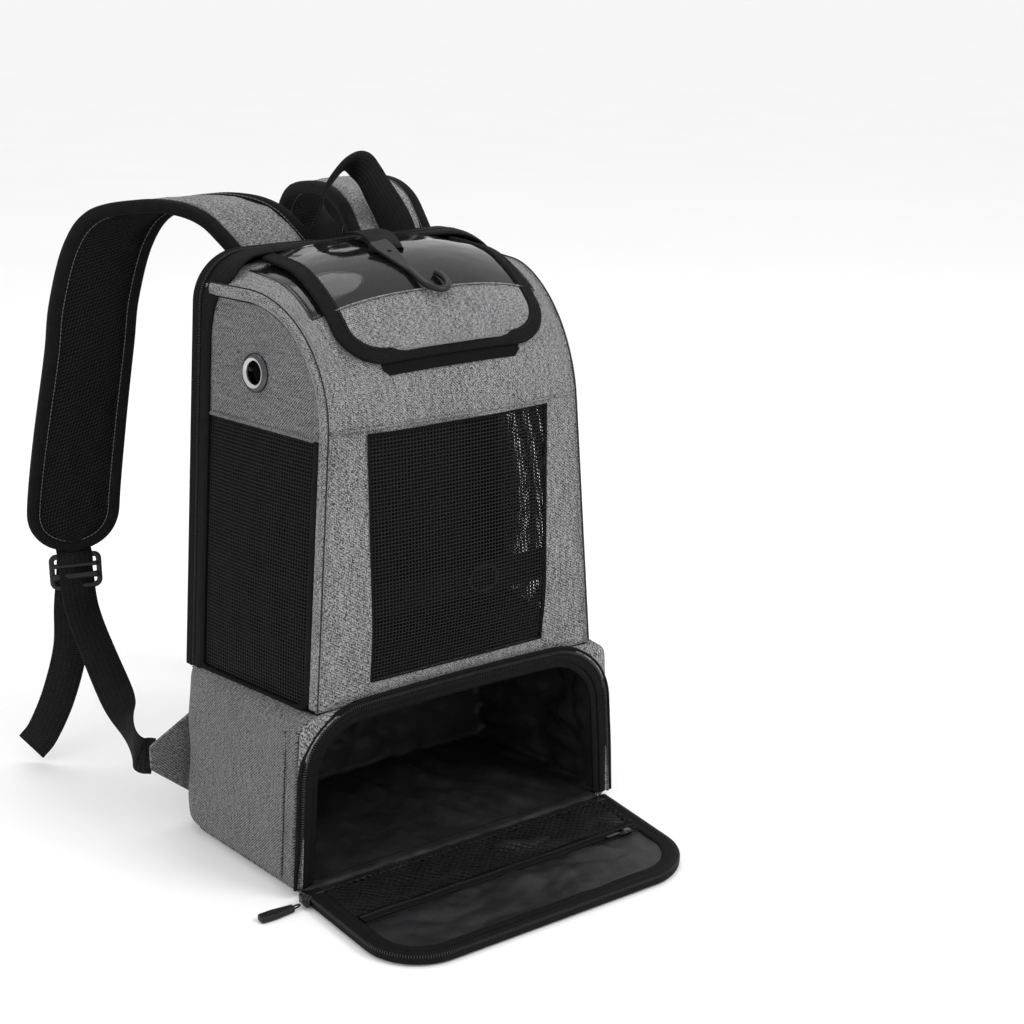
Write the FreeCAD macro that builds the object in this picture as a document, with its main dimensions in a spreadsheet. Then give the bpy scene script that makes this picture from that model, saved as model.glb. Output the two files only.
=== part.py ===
import FreeCAD, Part
import math
import os
import Sketcher
from FreeCAD import Placement, Rotation, Vector

# Empty padded backpack for a portable medical device. Millimetres, +Z up, +X to the right of
# someone facing the front, -Y towards them, origin on the ground under the middle of the base.
# It stands upright with its base door open on the ground and its back panel zipped shut.

SIZES = [
    ("base_tall", 141, "height of the base compartment, outside"),
    ("base_wall", 5, "padded walls, floor and shelf of the base"),
    ("base_half_back", 166.5, "half width of the base at the back, on the ground"),
    ("base_lean_up", 0.07, "how much narrower the base gets per mm of height"),
    ("base_lean_front", 0.09, "how much narrower the base gets per mm towards the front"),
    ("base_front", 80, "outer face of the base front, ahead of the origin"),
    ("back_plane", 81, "rear edge of the main zip, behind the origin"),
    ("upper_half_back", 152.3, "half width of the upper body at the back, on the shelf"),
    ("upper_lean_up", 0.0787, "how much narrower the upper body gets per mm of height"),
    ("upper_lean_front", 0.166, "how much narrower it gets per mm towards the front"),
    ("shell_wall", 4, "padded fabric of the upper body"),
    ("shell_front", 82, "outer face of the front band, ahead of the origin"),
    ("crown_top", 456, "outer face of the front band where it passes over the top"),
    ("crown_round", 103, "outer radius where the front band turns over the top"),
    ("zip_front", 62, "where the side panels end and the main zip tape starts"),
    ("tape_wide", 8, "each half of the main zip's tape"),
    ("coil_wide", 2.4, "coil of the main zip"),
    ("tape_thick", 3, "zip tape with its piping"),
    ("ring_half_low", 149.5, "half width of the main zip at the shelf"),
    ("ring_half_high", 125, "half width of the main zip at the top"),
    ("ring_top", 458, "top of the main zip"),
    ("ring_round", 36, "rounded top corners of the main zip"),
    ("mesh_thick", 1.6, "ventilation mesh"),
    ("mesh_line", 344, "height at which the side mesh meets the padded side"),
    ("window_half", 79, "half width of the front mesh"),
    ("window_low", 157, "lower edge of the front mesh"),
    ("window_high", 347, "upper edge of the front mesh"),
    ("eyelet_ahead", -3, "eyelet centre ahead of the origin"),
    ("eyelet_high", 383, "eyelet centre above the ground"),
    ("eyelet_bore", 8, "radius of the hose hole"),
    ("eyelet_rim", 14.5, "radius of the eyelet's flange"),
    ("eyelet_deep", 7, "eyelet, from flange to washer"),
    ("piping_wide", 5, "corded seam along the side of the front band"),
    ("arch_half", 146, "half width of the base zip, outside"),
    ("arch_low", 8, "lower end of the base zip"),
    ("arch_high", 139, "crown of the base zip, outside"),
    ("arch_round", 48, "rounded top corners of the base zip"),
    ("arch_band", 10, "width of the base zip's tape"),
    ("door_half", 143, "half width of the base door"),
    ("door_long", 133, "base door from its fold to its free edge"),
    ("door_shift", -5, "the door lies this much to one side"),
    ("door_round", 46, "rounded free corners of the base door"),
    ("door_rim", 8, "zip tape round the door"),
    ("door_thick", 12, "door with its rim"),
    ("fold_line", 88.5, "the door's fold, ahead of the origin"),
    ("film_half", 97.5, "half width of the clear film under the flap"),
    ("flap_half", 92, "half width of the top flap"),
    ("flap_low", 396, "front edge of the top flap"),
    ("flap_round", 25, "rounded front corners of the top flap"),
    ("flap_thick", 3, "top flap"),
    ("flap_gap", 3, "room under the flap for its touch fastener"),
    ("binding_wide", 12, "binding round the top flap"),
    ("handle_wide", 30, "webbing at the foot of the carrying handle"),
    ("handle_tall", 72, "carrying handle above the top edge"),
    ("webbing_thick", 2, "all webbing"),
    ("pad_wide", 75, "shoulder pad"),
    ("pad_thick", 10, "shoulder pad"),
    ("strap_web", 30, "webbing below the shoulder pads"),
    ("tab_thick", 3, "sewn corner tab for the lower webbing"),
    ("panel_thick", 4.7, "back panel"),
    ("cushion_thick", 11, "air mesh cushions on the back panel"),
    ("seam_gap", 0.3, "room left between neighbouring sub-parts"),
    ("lining_thick", 1.5, "lining of the base compartment"),
    ("film_thick", 1.5, "clear film under the flap, with its sewn edge"),
    ("film_front", 41.5, "front edge of the clear film, ahead of the origin"),
    ("film_rear", 47.5, "rear edge of the clear film, behind the origin"),
    ("piping_thick", 2.5, "corded seam, through its thickness"),
    ("net_round", 12, "rounded lower corner of the side mesh"),
    ("patch_half", 60, "half width of the touch fastener"),
    ("patch_thick", 1.1, "touch fastener, each half"),
    ("patch_low", 9, "the shell's half reaches this much below the flap"),
    ("patch_high", 10, "both halves reach this much above the flap's front edge"),
    ("board_thick", 3, "stiff board behind the back panel"),
    ("board_inset", 8, "the board keeps this far inside the main zip"),
    ("cushion_low", 268, "lower edge of the upper cushions"),
    ("cushion_high", 424, "upper edge of the upper cushions"),
    ("cushion_near", 8, "upper cushions' edge beside the middle"),
    ("cushion_far", 112, "upper cushions' outer edge, at the bottom"),
    ("cushion_taper", 12, "how much nearer that edge is at the top"),
    ("cushion_round", 18, "outer corners of the cushions"),
    ("cushion_round_in", 12, "inner corners of the upper cushions"),
    ("lumbar_low", 166, "lower edge of the lumbar cushion"),
    ("lumbar_high", 256, "upper edge of the lumbar cushion"),
    ("lumbar_half", 122, "half width of the lumbar cushion, at the bottom"),
    ("lumbar_taper", 8, "how much narrower each side is at the top"),
    ("anchor_low", 434, "lower edge of the band that the shoulder straps are sewn under"),
    ("anchor_high", 450, "upper edge of that band"),
    ("anchor_half", 96, "half width of that band"),
    ("anchor_thick", 3, "that band, doubled"),
    ("handle_middle", 27, "middle of the carrying handle, to the right of the bag's middle"),
    ("handle_span", 50, "half the distance between the handle's outer edges"),
    ("handle_taper", 16, "how much nearer each edge is at the grip"),
    ("grip_wide", 12, "webbing folded narrower at the grip"),
    ("grip_tall", 13, "grip, from its top to its underside"),
    ("lock_half", 20, "half width of the ladder lock"),
    ("lock_tall", 26, "ladder lock below the pad's end"),
    ("lock_thick", 5, "ladder lock"),
    ("slot_half", 16, "half width of the ladder lock's slots"),
    ("loop_thick", 3, "webbing loop that holds the ladder lock"),
    ("loop_low", 1.5, "lower end of that loop, above the lock's origin"),
    ("loop_high", 10.5, "upper end of that loop"),
    ("flap_rear", 57, "the flap's hinge line, behind the origin"),
    ("flap_split", 22, "the flap's clear window starts this much below its crown"),
    ("hook_strap_left", 11, "left edge of the hook's strap, from the middle"),
    ("hook_strap_right", 15, "right edge of the hook's strap, from the middle"),
    ("hook_strap_front", 4, "front end of the hook's strap, behind the origin"),
    ("hook_thick", 4, "moulded hook"),
    ("pocket_line", 62, "zip of the door's pocket, from the fold"),
    ("pocket_thick", 1.4, "mesh pocket on the door"),
    ("slider_long", 12, "slider of a base zip"),
    ("pull_thick", 5, "rubber pull of the base zip"),
    ("inner_strap_half", 118, "half length of the securing strap"),
    ("inner_strap_low", 205, "lower edge of the securing strap"),
    ("inner_strap_wide", 25, "securing strap"),
]

doc = FreeCAD.newDocument("DevicePack")
sheet = doc.addObject("Spreadsheet::Sheet", "Sizes")
for row, (alias, value, meaning) in enumerate(SIZES, start=1):
    sheet.set(f"A{row}", meaning)
    sheet.set(f"B{row}", str(value))
    sheet.setAlias(f"B{row}", alias)
doc.recompute()

nodes = []


def size(alias):
    """The value of one cell of the sheet."""
    return float(getattr(sheet, alias))


def cell(text):
    """An expression on sheet aliases, with the sheet's name put before each alias."""
    words = text.replace("(", " ( ").replace(")", " ) ").split()
    names = {alias for alias, _, _ in SIZES}
    return " ".join(f"Sizes.{word}" if word in names else word for word in words)


def amount(text):
    """The same expression as a number."""
    return float(sheet.evalExpression(cell(text)))


def keep(item, label):
    """Names a finished sub-part and lists it for export."""
    item.Label = label
    nodes.append(item)
    return item


# ---------------------------------------------------------------- views and slanted planes

PLAN = Placement()
TURN_FRONT = Rotation(Vector(1, 0, 0), 90)
TURN_SIDE = Rotation(Vector(1, 1, 1), 120)


def front_view(y):
    """A sketch drawn as x and height; its pad grows towards the front from y."""
    return Placement(Vector(0, y, 0), TURN_FRONT)


def side_view(x):
    """A sketch drawn as y and height; its pad grows to the right from x."""
    return Placement(Vector(x, 0, 0), TURN_SIDE)


def plan_view(z):
    return Placement(Vector(0, 0, z), Rotation())


def left_wall(half_back, lean_up, lean_front, z, inset):
    """Placement of a flat left wall: sketch x runs to the front, y up, the pad grows outwards."""
    outward = Vector(-1, -lean_front, lean_up)
    outward.normalize()
    ahead = Vector(lean_front, -1, 0)
    ahead.normalize()
    corner = Vector(-half_back, size("back_plane"), z)
    return Placement(corner - outward * inset, Rotation(ahead, outward.cross(ahead), outward, "ZXY"))


# ---------------------------------------------------------------- parametric building blocks

def outline(owner, name, corners):
    """A closed sketch of straight lines whose corners are bound to the sheet."""
    sketch = owner.newObject("Sketcher::SketchObject", name) if owner else doc.addObject(
        "Sketcher::SketchObject", name)
    spots = [Vector(amount(x), amount(y), 0) for x, y in corners]
    count = len(spots)
    for i, spot in enumerate(spots):
        sketch.addGeometry(Part.LineSegment(spot, spots[(i + 1) % count]), False)
    for i in range(count):
        sketch.addConstraint(Sketcher.Constraint("Coincident", i, 2, (i + 1) % count, 1))
    for i, (x, y) in enumerate(corners):
        for kind, text in (("DistanceX", x), ("DistanceY", y)):
            index = sketch.addConstraint(Sketcher.Constraint(kind, -1, 1, i, 1, amount(text)))
            sketch.setExpression(f"Constraints[{index}]", cell(text))
    return sketch


def base_plane(body):
    return next(f for f in body.Origin.OriginFeatures if f.Role == "XY_Plane")


def edge_names(shape, spot):
    """Names of the straight edges that stand on one corner of a sketch, along the pad."""
    found = []
    for index, edge in enumerate(shape.Edges, start=1):
        ends = [vertex.Point for vertex in edge.Vertexes]
        if all(math.hypot(p.x - spot[0], p.y - spot[1]) < 0.01 for p in ends):
            found.append(f"Edge{index}")
    return found


def plate(name, corners, thick, place, rounds=None, holes=()):
    """A body padded from an outline, with rounded corners and round holes where asked."""
    body = doc.addObject("PartDesign::Body", name)
    sketch = outline(body, name + "Sketch", corners)
    sketch.AttachmentSupport = [(base_plane(body), "")]
    sketch.MapMode = "FlatFace"
    for x, y, radius in holes:
        circle = Part.Circle(Vector(amount(x), amount(y), 0), Vector(0, 0, 1), amount(radius))
        geo = sketch.addGeometry(circle, False)
        for kind, text in (("DistanceX", x), ("DistanceY", y)):
            index = sketch.addConstraint(Sketcher.Constraint(kind, -1, 1, geo, 3, amount(text)))
            sketch.setExpression(f"Constraints[{index}]", cell(text))
        index = sketch.addConstraint(Sketcher.Constraint("Radius", geo, amount(radius)))
        sketch.setExpression(f"Constraints[{index}]", cell(radius))
    pad = body.newObject("PartDesign::Pad", name + "Pad")
    pad.Profile = sketch
    pad.setExpression("Length", cell(thick))
    doc.recompute()
    last = pad
    for corner, radius in (rounds or {}).items():
        x, y = corners[corner]
        fillet = body.newObject("PartDesign::Fillet", f"{name}Round{corner}")
        fillet.Base = (last, edge_names(last.Shape, (amount(x), amount(y))))
        fillet.setExpression("Radius", cell(radius))
        body.Tip = fillet
        doc.recompute()
        last = fillet
    body.Placement = place
    return body


def block(name, low, high):
    """A box between two corners, each given as three expressions."""
    box = doc.addObject("Part::Box", name)
    for side, a, b in zip(("Length", "Width", "Height"), low, high):
        box.setExpression(side, cell(f"( {b} ) - ( {a} )"))
    for axis, a in zip("xyz", low):
        box.setExpression(f"Placement.Base.{axis}", cell(a))
    return box


def cut(name, base, tool):
    result = doc.addObject("Part::Cut", name)
    result.Base = base
    result.Tool = tool
    return result


def common(name, *shapes):
    result = doc.addObject("Part::MultiCommon", name)
    result.Shapes = list(shapes)
    return result


def join(name, *shapes):
    result = doc.addObject("Part::MultiFuse", name)
    result.Shapes = list(shapes)
    return result


def mirrored(source, label):
    """The same piece on the other side of the bag."""
    other = doc.addObject("Part::Mirroring", label)
    other.Source = source
    other.Normal = Vector(1, 0, 0)
    return keep(other, label)


def section(name, wide, thick, place):
    """A rectangle round its own centre, for a loft."""
    half_wide = f"( {wide} ) / 2"
    half_thick = f"( {thick} ) / 2"
    corners = [(f"0 - {half_wide}", f"0 - {half_thick}"), (half_wide, f"0 - {half_thick}"),
               (half_wide, half_thick), (f"0 - {half_wide}", half_thick)]
    sketch = outline(None, name, corners)
    sketch.Placement = place
    return sketch


def ribbon(label, stations, wide, thick):
    """A flat band through stations, each a point and the direction of the band's width."""
    loft = doc.addObject("Part::Loft", label)
    points = [Vector(*spot) for spot, _ in stations]
    sections = []
    for i, (spot, across) in enumerate(stations):
        run = points[min(i + 1, len(points) - 1)] - points[max(i - 1, 0)]
        across = Vector(*across)
        across.normalize()
        face = run.cross(across)
        face.normalize()
        turn = Rotation(across, face, across.cross(face), "ZXY")
        sections.append(section(f"{label}Section{i}", wide, thick, Placement(points[i], turn)))
    loft.Sections = sections
    loft.Solid = True
    loft.Ruled = True
    return keep(loft, label)


# ---------------------------------------------------------------- base compartment

def base_half(z, y):
    """Expression for the base's half width at a height and a place along y."""
    return (f"base_half_back - base_lean_up * ( {z} )"
            f" - base_lean_front * ( back_plane - ( {y} ) )")


def trapezoid(half, z, front, back):
    """A plan outline that is narrower in front."""
    return [(f"0 - ( {half(z, front)} )", front), (half(z, front), front),
            (half(z, back), back), (f"0 - ( {half(z, back)} )", back)]


def build_base():
    wall = size("base_wall")
    keep(plate("BaseFloor", trapezoid(base_half, "0", "0 - base_front", "back_plane"),
               "base_wall", PLAN), "base_floor")
    keep(plate("DividerShelf",
               trapezoid(base_half, "base_tall", "0 - base_front", "back_plane"),
               "base_wall", plan_view(size("base_tall") - wall)), "divider_shelf")

    low, high = "base_wall + 0.2", "base_tall - base_wall - 0.2"
    rear_edge, front_edge = "base_wall + 1.4", "back_plane + base_front - base_wall - 0.7"
    span = [(rear_edge, f"{low} + 0.6"), (front_edge, f"{low} + 0.6"),
            (front_edge, high), (rear_edge, high)]
    place = left_wall(size("base_half_back"), size("base_lean_up"), size("base_lean_front"), 0,
                      wall)
    side = keep(plate("BaseSide", span, "base_wall", place), "base_side_left")
    mirrored(side, "base_side_right")

    rear = [(f"0 - ( {base_half(low, 'back_plane')} )", low), (base_half(low, "back_plane"), low),
            (base_half(high, "back_plane"), high), (f"0 - ( {base_half(high, 'back_plane')} )", high)]
    keep(plate("BaseRear", rear, "base_wall", front_view(size("back_plane"))), "base_rear_wall")

    front = [(x.replace("( back_plane )", "( 0 - base_front )"), z) for x, z in rear]
    face = plate("FrontFace", front, "base_wall", front_view(wall - size("base_front")))
    hole = arch("FrontHole", "arch_band", "base_wall * 4", 2 * wall - size("base_front"))
    keep(cut("FrontFrame", face, hole), "base_front_frame")

    outer = arch("TrackOuter", "0", "webbing_thick", -size("base_front"))
    inner = arch("TrackInner", "arch_band", "webbing_thick * 3", 2 - size("base_front"))
    keep(cut("DoorTrack", outer, inner), "base_zip_track")
    build_lining()


def arch(name, inset, thick, y):
    """The base opening's outline, straight below and round at its top corners."""
    half = f"arch_half - {inset}"
    low = "arch_low" if inset == "0" else "0 - arch_low + base_wall * 2"
    high = f"arch_high - {inset}"
    corners = [(f"0 - ( {half} )", low), (half, low), (half, high), (f"0 - ( {half} )", high)]
    radius = f"arch_round - {inset}"
    return plate(name, corners, thick, front_view(y), {2: radius, 3: radius})


def wedge(name, half_front, half_back, front, back, low, high):
    """A block with upright walls that is narrower in front."""
    item = doc.addObject("Part::Wedge", name)
    for prop, text in (("Xmin", f"0 - ( {half_front} )"), ("Xmax", half_front),
                       ("X2min", f"0 - ( {half_back} )"), ("X2max", half_back),
                       ("Ymin", front), ("Ymax", back), ("Zmin", low), ("Z2min", low),
                       ("Zmax", high), ("Z2max", high)):
        item.setExpression(prop, cell(text))
    return item


def build_lining():
    """The base compartment's lining, a thin bag open at the front."""
    skin = "lining_thick"
    half_front, half_back = "base_half_back - 31", "base_half_back - 17"
    front, back = "base_wall + seam_gap - base_front", "back_plane - base_wall - seam_gap"
    low, high = "base_wall + seam_gap", "base_tall - base_wall - seam_gap"
    outer = wedge("LiningOuter", half_front, half_back, front, back, low, high)
    inner = wedge("LiningInner", f"{half_front} - {skin} - 0.4", f"{half_back} - {skin}",
                  f"{front} - 5", f"{back} - {skin}", f"{low} + {skin}", f"{high} - {skin}")
    keep(cut("Lining", outer, inner), "base_lining")


# ---------------------------------------------------------------- upper body

def upper_half(z, y):
    return (f"upper_half_back - upper_lean_up * ( {z} - base_tall )"
            f" - upper_lean_front * ( back_plane - ( {y} ) )")


def upper_envelope():
    """Everything between the two slanted sides of the upper body."""
    loft = doc.addObject("Part::Loft", "UpperEnvelope")
    sections = []
    for name, z in (("EnvelopeLow", "base_tall"), ("EnvelopeHigh", "crown_top + 20")):
        sketch = outline(None, name, trapezoid(upper_half, z, "0 - shell_front - 10", "back_plane"))
        sketch.Placement = plan_view(amount(z))
        sections.append(sketch)
    loft.Sections = sections
    loft.Solid = True
    loft.Ruled = True
    return loft


def shell_profile(name, gap, wall, rear, left, right):
    """A sheet that runs up the front and over the top, `gap` outside the shell."""
    low, front = "base_tall + seam_gap", f"0 - shell_front - ( {gap} )"
    top = f"crown_top + ( {gap} )"
    corners = [(f"{front} - {wall}", low), (f"{front} - {wall}", f"{top} + {wall}"),
               (rear, f"{top} + {wall}"), (rear, top), (front, top), (front, low)]
    rounds = {1: f"crown_round + ( {gap} ) + {wall}", 4: f"crown_round + ( {gap} )"}
    return plate(name, corners, f"{right} - ( {left} )", side_view(amount(left)), rounds)


def strip(name, label, gap, wall, rear, low, high):
    """Part of a sheet over the top, between two corners of a box."""
    sheet_part = shell_profile(name + "Sheet", gap, wall, rear, low[0], high[0])
    return keep(common(name, sheet_part, block(name + "Bounds", low, high)), label)


def side_sheet(name, corners, thick, inset, rounds=None, holes=()):
    place = left_wall(size("upper_half_back"), size("upper_lean_up"), size("upper_lean_front"),
                      size("base_tall"), inset)
    return plate(name, corners, thick, place, rounds, holes)


def build_upper():
    shell = size("shell_wall")
    envelope = upper_envelope()
    sheet_over = shell_profile("BandSheet", "0 - shell_wall", "shell_wall", "zip_front - seam_gap",
                               "0 - upper_half_back", "upper_half_back")
    band = common("Band", sheet_over, envelope)
    window = block("WindowHole", ("0 - window_half", "0 - shell_front - 5", "window_low"),
                   ("window_half", "0 - shell_front + 10", "window_high"))
    skylight = block("TopHole", ("0 - film_half - 0.5", "0 - film_front - 0.5", "crown_top - 40"),
                     ("film_half + 0.5", "film_rear + 0.5", "crown_top + 5"))
    keep(cut("FrontPanel", band, join("BandHoles", window, skylight)), "front_panel")
    net_low = ("0 - window_half + seam_gap", "0 - shell_front", "window_low + seam_gap")
    net_high = ("window_half - seam_gap", "0 - shell_front + mesh_thick", "window_high - seam_gap")
    keep(block("FrontMesh", net_low, net_high), "front_mesh")
    strip("TopFilm", "top_film", "0 - 2", "film_thick", "film_rear",
          ("0 - film_half", "0 - film_front", "crown_top - 40"),
          ("film_half", "film_rear", "crown_top + 5"))

    ahead = "back_plane + shell_front - shell_wall"
    rear = "back_plane - zip_front + 0.7"
    # the wall leans both ways, so its upright edges drift along the sketch as they rise
    drift_line, drift_crest = 2.9, 4.3
    line = "mesh_line - base_tall"
    crest = "crown_top - shell_wall - base_tall - seam_gap"
    corners = [(f"{rear} + {drift_line}", line), (ahead, line), (f"{ahead} + 2", crest),
               (f"{rear} + {drift_crest}", crest)]
    eyelet = ("( back_plane + eyelet_ahead ) * 1.013 + 5", "( eyelet_high - base_tall ) * 1.003",
              "eyelet_bore + 2")
    panel = side_sheet("SidePanel", corners, "shell_wall", shell,
                       {2: "crown_round - shell_wall - 2"}, [eyelet])
    mirrored(keep(panel, "side_panel_left"), "side_panel_right")
    low = "1"
    mesh = [(rear, low), (ahead, low), (ahead, f"{line} - seam_gap"),
            (f"{rear} + {drift_line}", f"{line} - seam_gap")]
    net = side_sheet("SideMesh", mesh, "mesh_thick", size("mesh_thick"), {0: "net_round"})
    mirrored(keep(net, "side_mesh_left"), "side_mesh_right")

    cord_out = "piping_wide"
    rim = [(f"{ahead} - {cord_out}", "3"), (ahead, "3"), (f"{ahead} + 2", crest),
           (f"{rear} + 20", crest), (f"{rear} + 20", f"{crest} - {cord_out}"),
           (f"{ahead} - {cord_out} + 2", f"{crest} - {cord_out}")]
    cord = side_sheet("Piping", rim, "piping_thick", -size("seam_gap"),
                      {2: "crown_round - shell_wall - 2", 5: "crown_round - shell_wall - 7"})
    mirrored(keep(cord, "piping_left"), "piping_right")
    build_eyelets(panel.Placement, eyelet)
    strip("LoopPatch", "flap_loop_patch", "0.2", "patch_thick", "zip_front",
          ("0 - patch_half", "0 - shell_front - 20", "flap_low - patch_low"),
          ("patch_half - 2", "0", "flap_low + patch_high"))


def build_eyelets(wall_place, spot):
    """A flanged ring round the hose hole, turned about the hole's axis."""
    body = doc.addObject("PartDesign::Body", "Eyelet")
    # half section: x is the radius, y runs outwards through the wall
    corners = [("eyelet_bore", "0 - 1.5"), ("eyelet_rim - 1", "0 - 1.5"),
               ("eyelet_rim - 1", "0 - 0.3"), ("eyelet_bore + 1.5", "0 - 0.3"),
               ("eyelet_bore + 1.5", "shell_wall + 0.3"), ("eyelet_rim", "shell_wall + 0.3"),
               ("eyelet_rim - 1.5", "eyelet_deep - 1.5"), ("eyelet_bore", "eyelet_deep - 1.5")]
    sketch = outline(body, "EyeletSection", corners)
    plane = next(f for f in body.Origin.OriginFeatures if f.Role == "XZ_Plane")
    sketch.AttachmentSupport = [(plane, "")]
    sketch.MapMode = "FlatFace"
    ring = body.newObject("PartDesign::Revolution", "EyeletRing")
    ring.Profile = sketch
    ring.ReferenceAxis = (sketch, ["V_Axis"])
    ring.Angle = 360
    doc.recompute()
    centre = wall_place.multVec(Vector(amount(spot[0]), amount(spot[1]), 0))
    body.Placement = Placement(centre, wall_place.Rotation)
    mirrored(keep(body, "eyelet_left"), "eyelet_right")


# ---------------------------------------------------------------- main zip and back panel

def zip_ring(name, label, front, wide, grow="0"):
    """One inverted U of the main zip, `wide` deep from `front` towards the back."""
    low = "base_tall + 0.3"
    height = f"ring_top + {grow}"
    corners = [(f"0 - ring_half_low - {grow}", low), (f"ring_half_low + {grow}", low),
               (f"ring_half_high + {grow}", height), (f"0 - ring_half_high - {grow}", height)]
    thick = "tape_thick"
    inner = [(f"0 - ring_half_low - {grow} + {thick}", "base_tall - 9"),
             (f"ring_half_low + {grow} - {thick}", "base_tall - 9"),
             (f"ring_half_high + {grow} - {thick}", f"{height} - {thick}"),
             (f"0 - ring_half_high - {grow} + {thick}", f"{height} - {thick}")]
    start = amount(f"{front} + {wide}")
    outside = plate(name + "Outside", corners, wide, front_view(start),
                    {2: "ring_round", 3: "ring_round"})
    inside = plate(name + "Inside", inner, f"{wide} + 4", front_view(start + 2),
                   {2: "ring_round - tape_thick", 3: "ring_round - tape_thick"})
    return keep(cut(name, outside, inside), label)


def build_zip():
    zip_ring("ShellTape", "main_zip_shell_tape", "zip_front", "tape_wide")
    coil = "zip_front + tape_wide + seam_gap"
    zip_ring("Coil", "main_zip_coil", coil, "coil_wide", "0.8")
    zip_ring("PanelTape", "main_zip_panel_tape", f"{coil} + coil_wide + seam_gap",
             "back_plane - zip_front - tape_wide - coil_wide - seam_gap * 2")


def build_back():
    corners = [("0 - ring_half_low", "base_tall + 3"), ("ring_half_low", "base_tall + 3"),
               ("ring_half_high", "ring_top"), ("0 - ring_half_high", "ring_top")]
    rear = amount("back_plane + seam_gap + panel_thick")
    keep(plate("BackPanel", corners, "panel_thick", front_view(rear),
               {2: "ring_round", 3: "ring_round"}), "back_panel")
    board = [("0 - ring_half_low + board_inset", "base_tall + board_inset"),
             ("ring_half_low - board_inset", "base_tall + board_inset"),
             ("ring_half_high - board_inset", "ring_top - board_inset"),
             ("0 - ring_half_high + board_inset", "ring_top - board_inset")]
    board_round = "ring_round - board_inset"
    keep(plate("BackBoard", board, "board_thick", front_view(size("back_plane")),
               {2: board_round, 3: board_round}), "back_board")
    place = front_view(rear + size("seam_gap") + size("cushion_thick"))
    pad = [("0 - cushion_far", "cushion_low"), ("0 - cushion_near", "cushion_low"),
           ("0 - cushion_near", "cushion_high"), ("0 - cushion_far + cushion_taper", "cushion_high")]
    corner, inner_corner = "cushion_round", "cushion_round_in"
    upper = plate("BackCushion", pad, "cushion_thick", place,
                  {0: corner, 1: inner_corner, 2: inner_corner, 3: corner})
    mirrored(keep(upper, "back_cushion_left"), "back_cushion_right")
    low = [("0 - lumbar_half", "lumbar_low"), ("lumbar_half", "lumbar_low"),
           ("lumbar_half - lumbar_taper", "lumbar_high"),
           ("0 - lumbar_half + lumbar_taper", "lumbar_high")]
    keep(plate("LumbarCushion", low, "cushion_thick", place,
               {0: corner, 1: corner, 2: corner, 3: corner}), "lumbar_cushion")
    band = [("0 - anchor_half", "anchor_low"), ("anchor_half", "anchor_low"),
            ("anchor_half - 2", "anchor_high"), ("0 - anchor_half + 2", "anchor_high")]
    place = front_view(rear + size("seam_gap") + size("anchor_thick"))
    keep(plate("StrapAnchor", band, "anchor_thick", place), "strap_anchor")


def build_handle():
    """Carrying handle: webbing standing up behind the zip, broad feet and a narrow grip."""
    foot, top = "ring_top - 5", "ring_top - 5 + handle_tall"
    left, right = "handle_middle - handle_span", "handle_middle + handle_span"
    grip = "handle_taper + grip_wide"
    outer = [(left, foot), (right, foot), (f"{right} - handle_taper", top),
             (f"{left} + handle_taper", top)]
    inner = [(f"{left} + handle_wide", f"{foot} - 5"), (f"{right} - handle_wide", f"{foot} - 5"),
             (f"{right} - ( {grip} )", f"{top} - grip_tall"),
             (f"{left} + {grip}", f"{top} - grip_tall")]
    rear = amount("back_plane + seam_gap + panel_thick + 0.4 + webbing_thick")
    body = plate("HandleOuter", outer, "webbing_thick", front_view(rear), {2: "24", 3: "24"})
    hole = plate("HandleInner", inner, "webbing_thick * 3", front_view(rear + 2),
                 {2: "14", 3: "14"})
    keep(cut("Handle", body, hole), "carry_handle")


# ---------------------------------------------------------------- shoulder straps

# distance behind the back plane and height along a strap's middle line, from its sewn top end
# over the shoulder arch and down to the buckle
STRAP_LINE = [(18, 472), (32, 482), (50, 489), (80, 490), (117, 482), (138, 457), (153, 412),
              (160, 372), (173, 305), (183, 245), (186, 212)]


def strap_spot(side, behind, z):
    """A point of a strap: the left one splays out at 45 degrees, the right one runs back."""
    if side < 0:
        return (-52 - behind * 0.7071, 85 + behind * 0.7071, z)
    return (54 + behind * 0.06, 85 + behind, z)


def build_straps():
    for side, label in ((-1, "left"), (1, "right")):
        line = []
        for i, (behind, z) in enumerate(STRAP_LINE):
            turn = max(0, i - 6) * 0.07
            across = (1, turn * side, 0)
            line.append((strap_spot(side, behind, z), across))
        ribbon(f"strap_pad_{label}", line, "pad_wide", "pad_thick")
        build_buckle(side, label)
        build_webbing(side, label)


def build_buckle(side, label):
    """Ladder lock: a frame with two slots, hung from the pad by a loop of webbing."""
    x, y, z = strap_spot(side, 187, 196)
    tilt = Placement(Vector(x, y, z), Rotation(Vector(0, 0, 1), 12 if side < 0 else 0))
    loop = [("0 - strap_web / 2", "0 - loop_thick / 2"), ("strap_web / 2", "0 - loop_thick / 2"),
            ("strap_web / 2", "loop_thick / 2"), ("0 - strap_web / 2", "loop_thick / 2")]
    raised = tilt.multiply(plan_view(size("loop_low")))
    keep(plate(f"LockLoop{label}", loop, "loop_high - loop_low", raised), f"lock_loop_{label}")
    frame = [("0 - lock_half", "0 - lock_tall"), ("lock_half", "0 - lock_tall"),
             ("lock_half", "1"), ("0 - lock_half", "1")]
    body = plate(f"Lock{label}", frame, "lock_thick", front_view(size("lock_thick") / 2),
                 {0: "4", 1: "4", 2: "3", 3: "3"})
    slots = [block(f"LockSlot{label}{i}", ("0 - slot_half", "0 - lock_thick", low),
                   ("slot_half", "lock_thick", high))
             for i, (low, high) in enumerate((("0 - 9", "0 - 4"), ("0 - 20", "0 - 13")))]
    lock = cut(f"LadderLock{label}", body, join(f"LockSlots{label}", *slots))
    lock.Placement = tilt
    keep(lock, f"ladder_lock_{label}")


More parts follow.
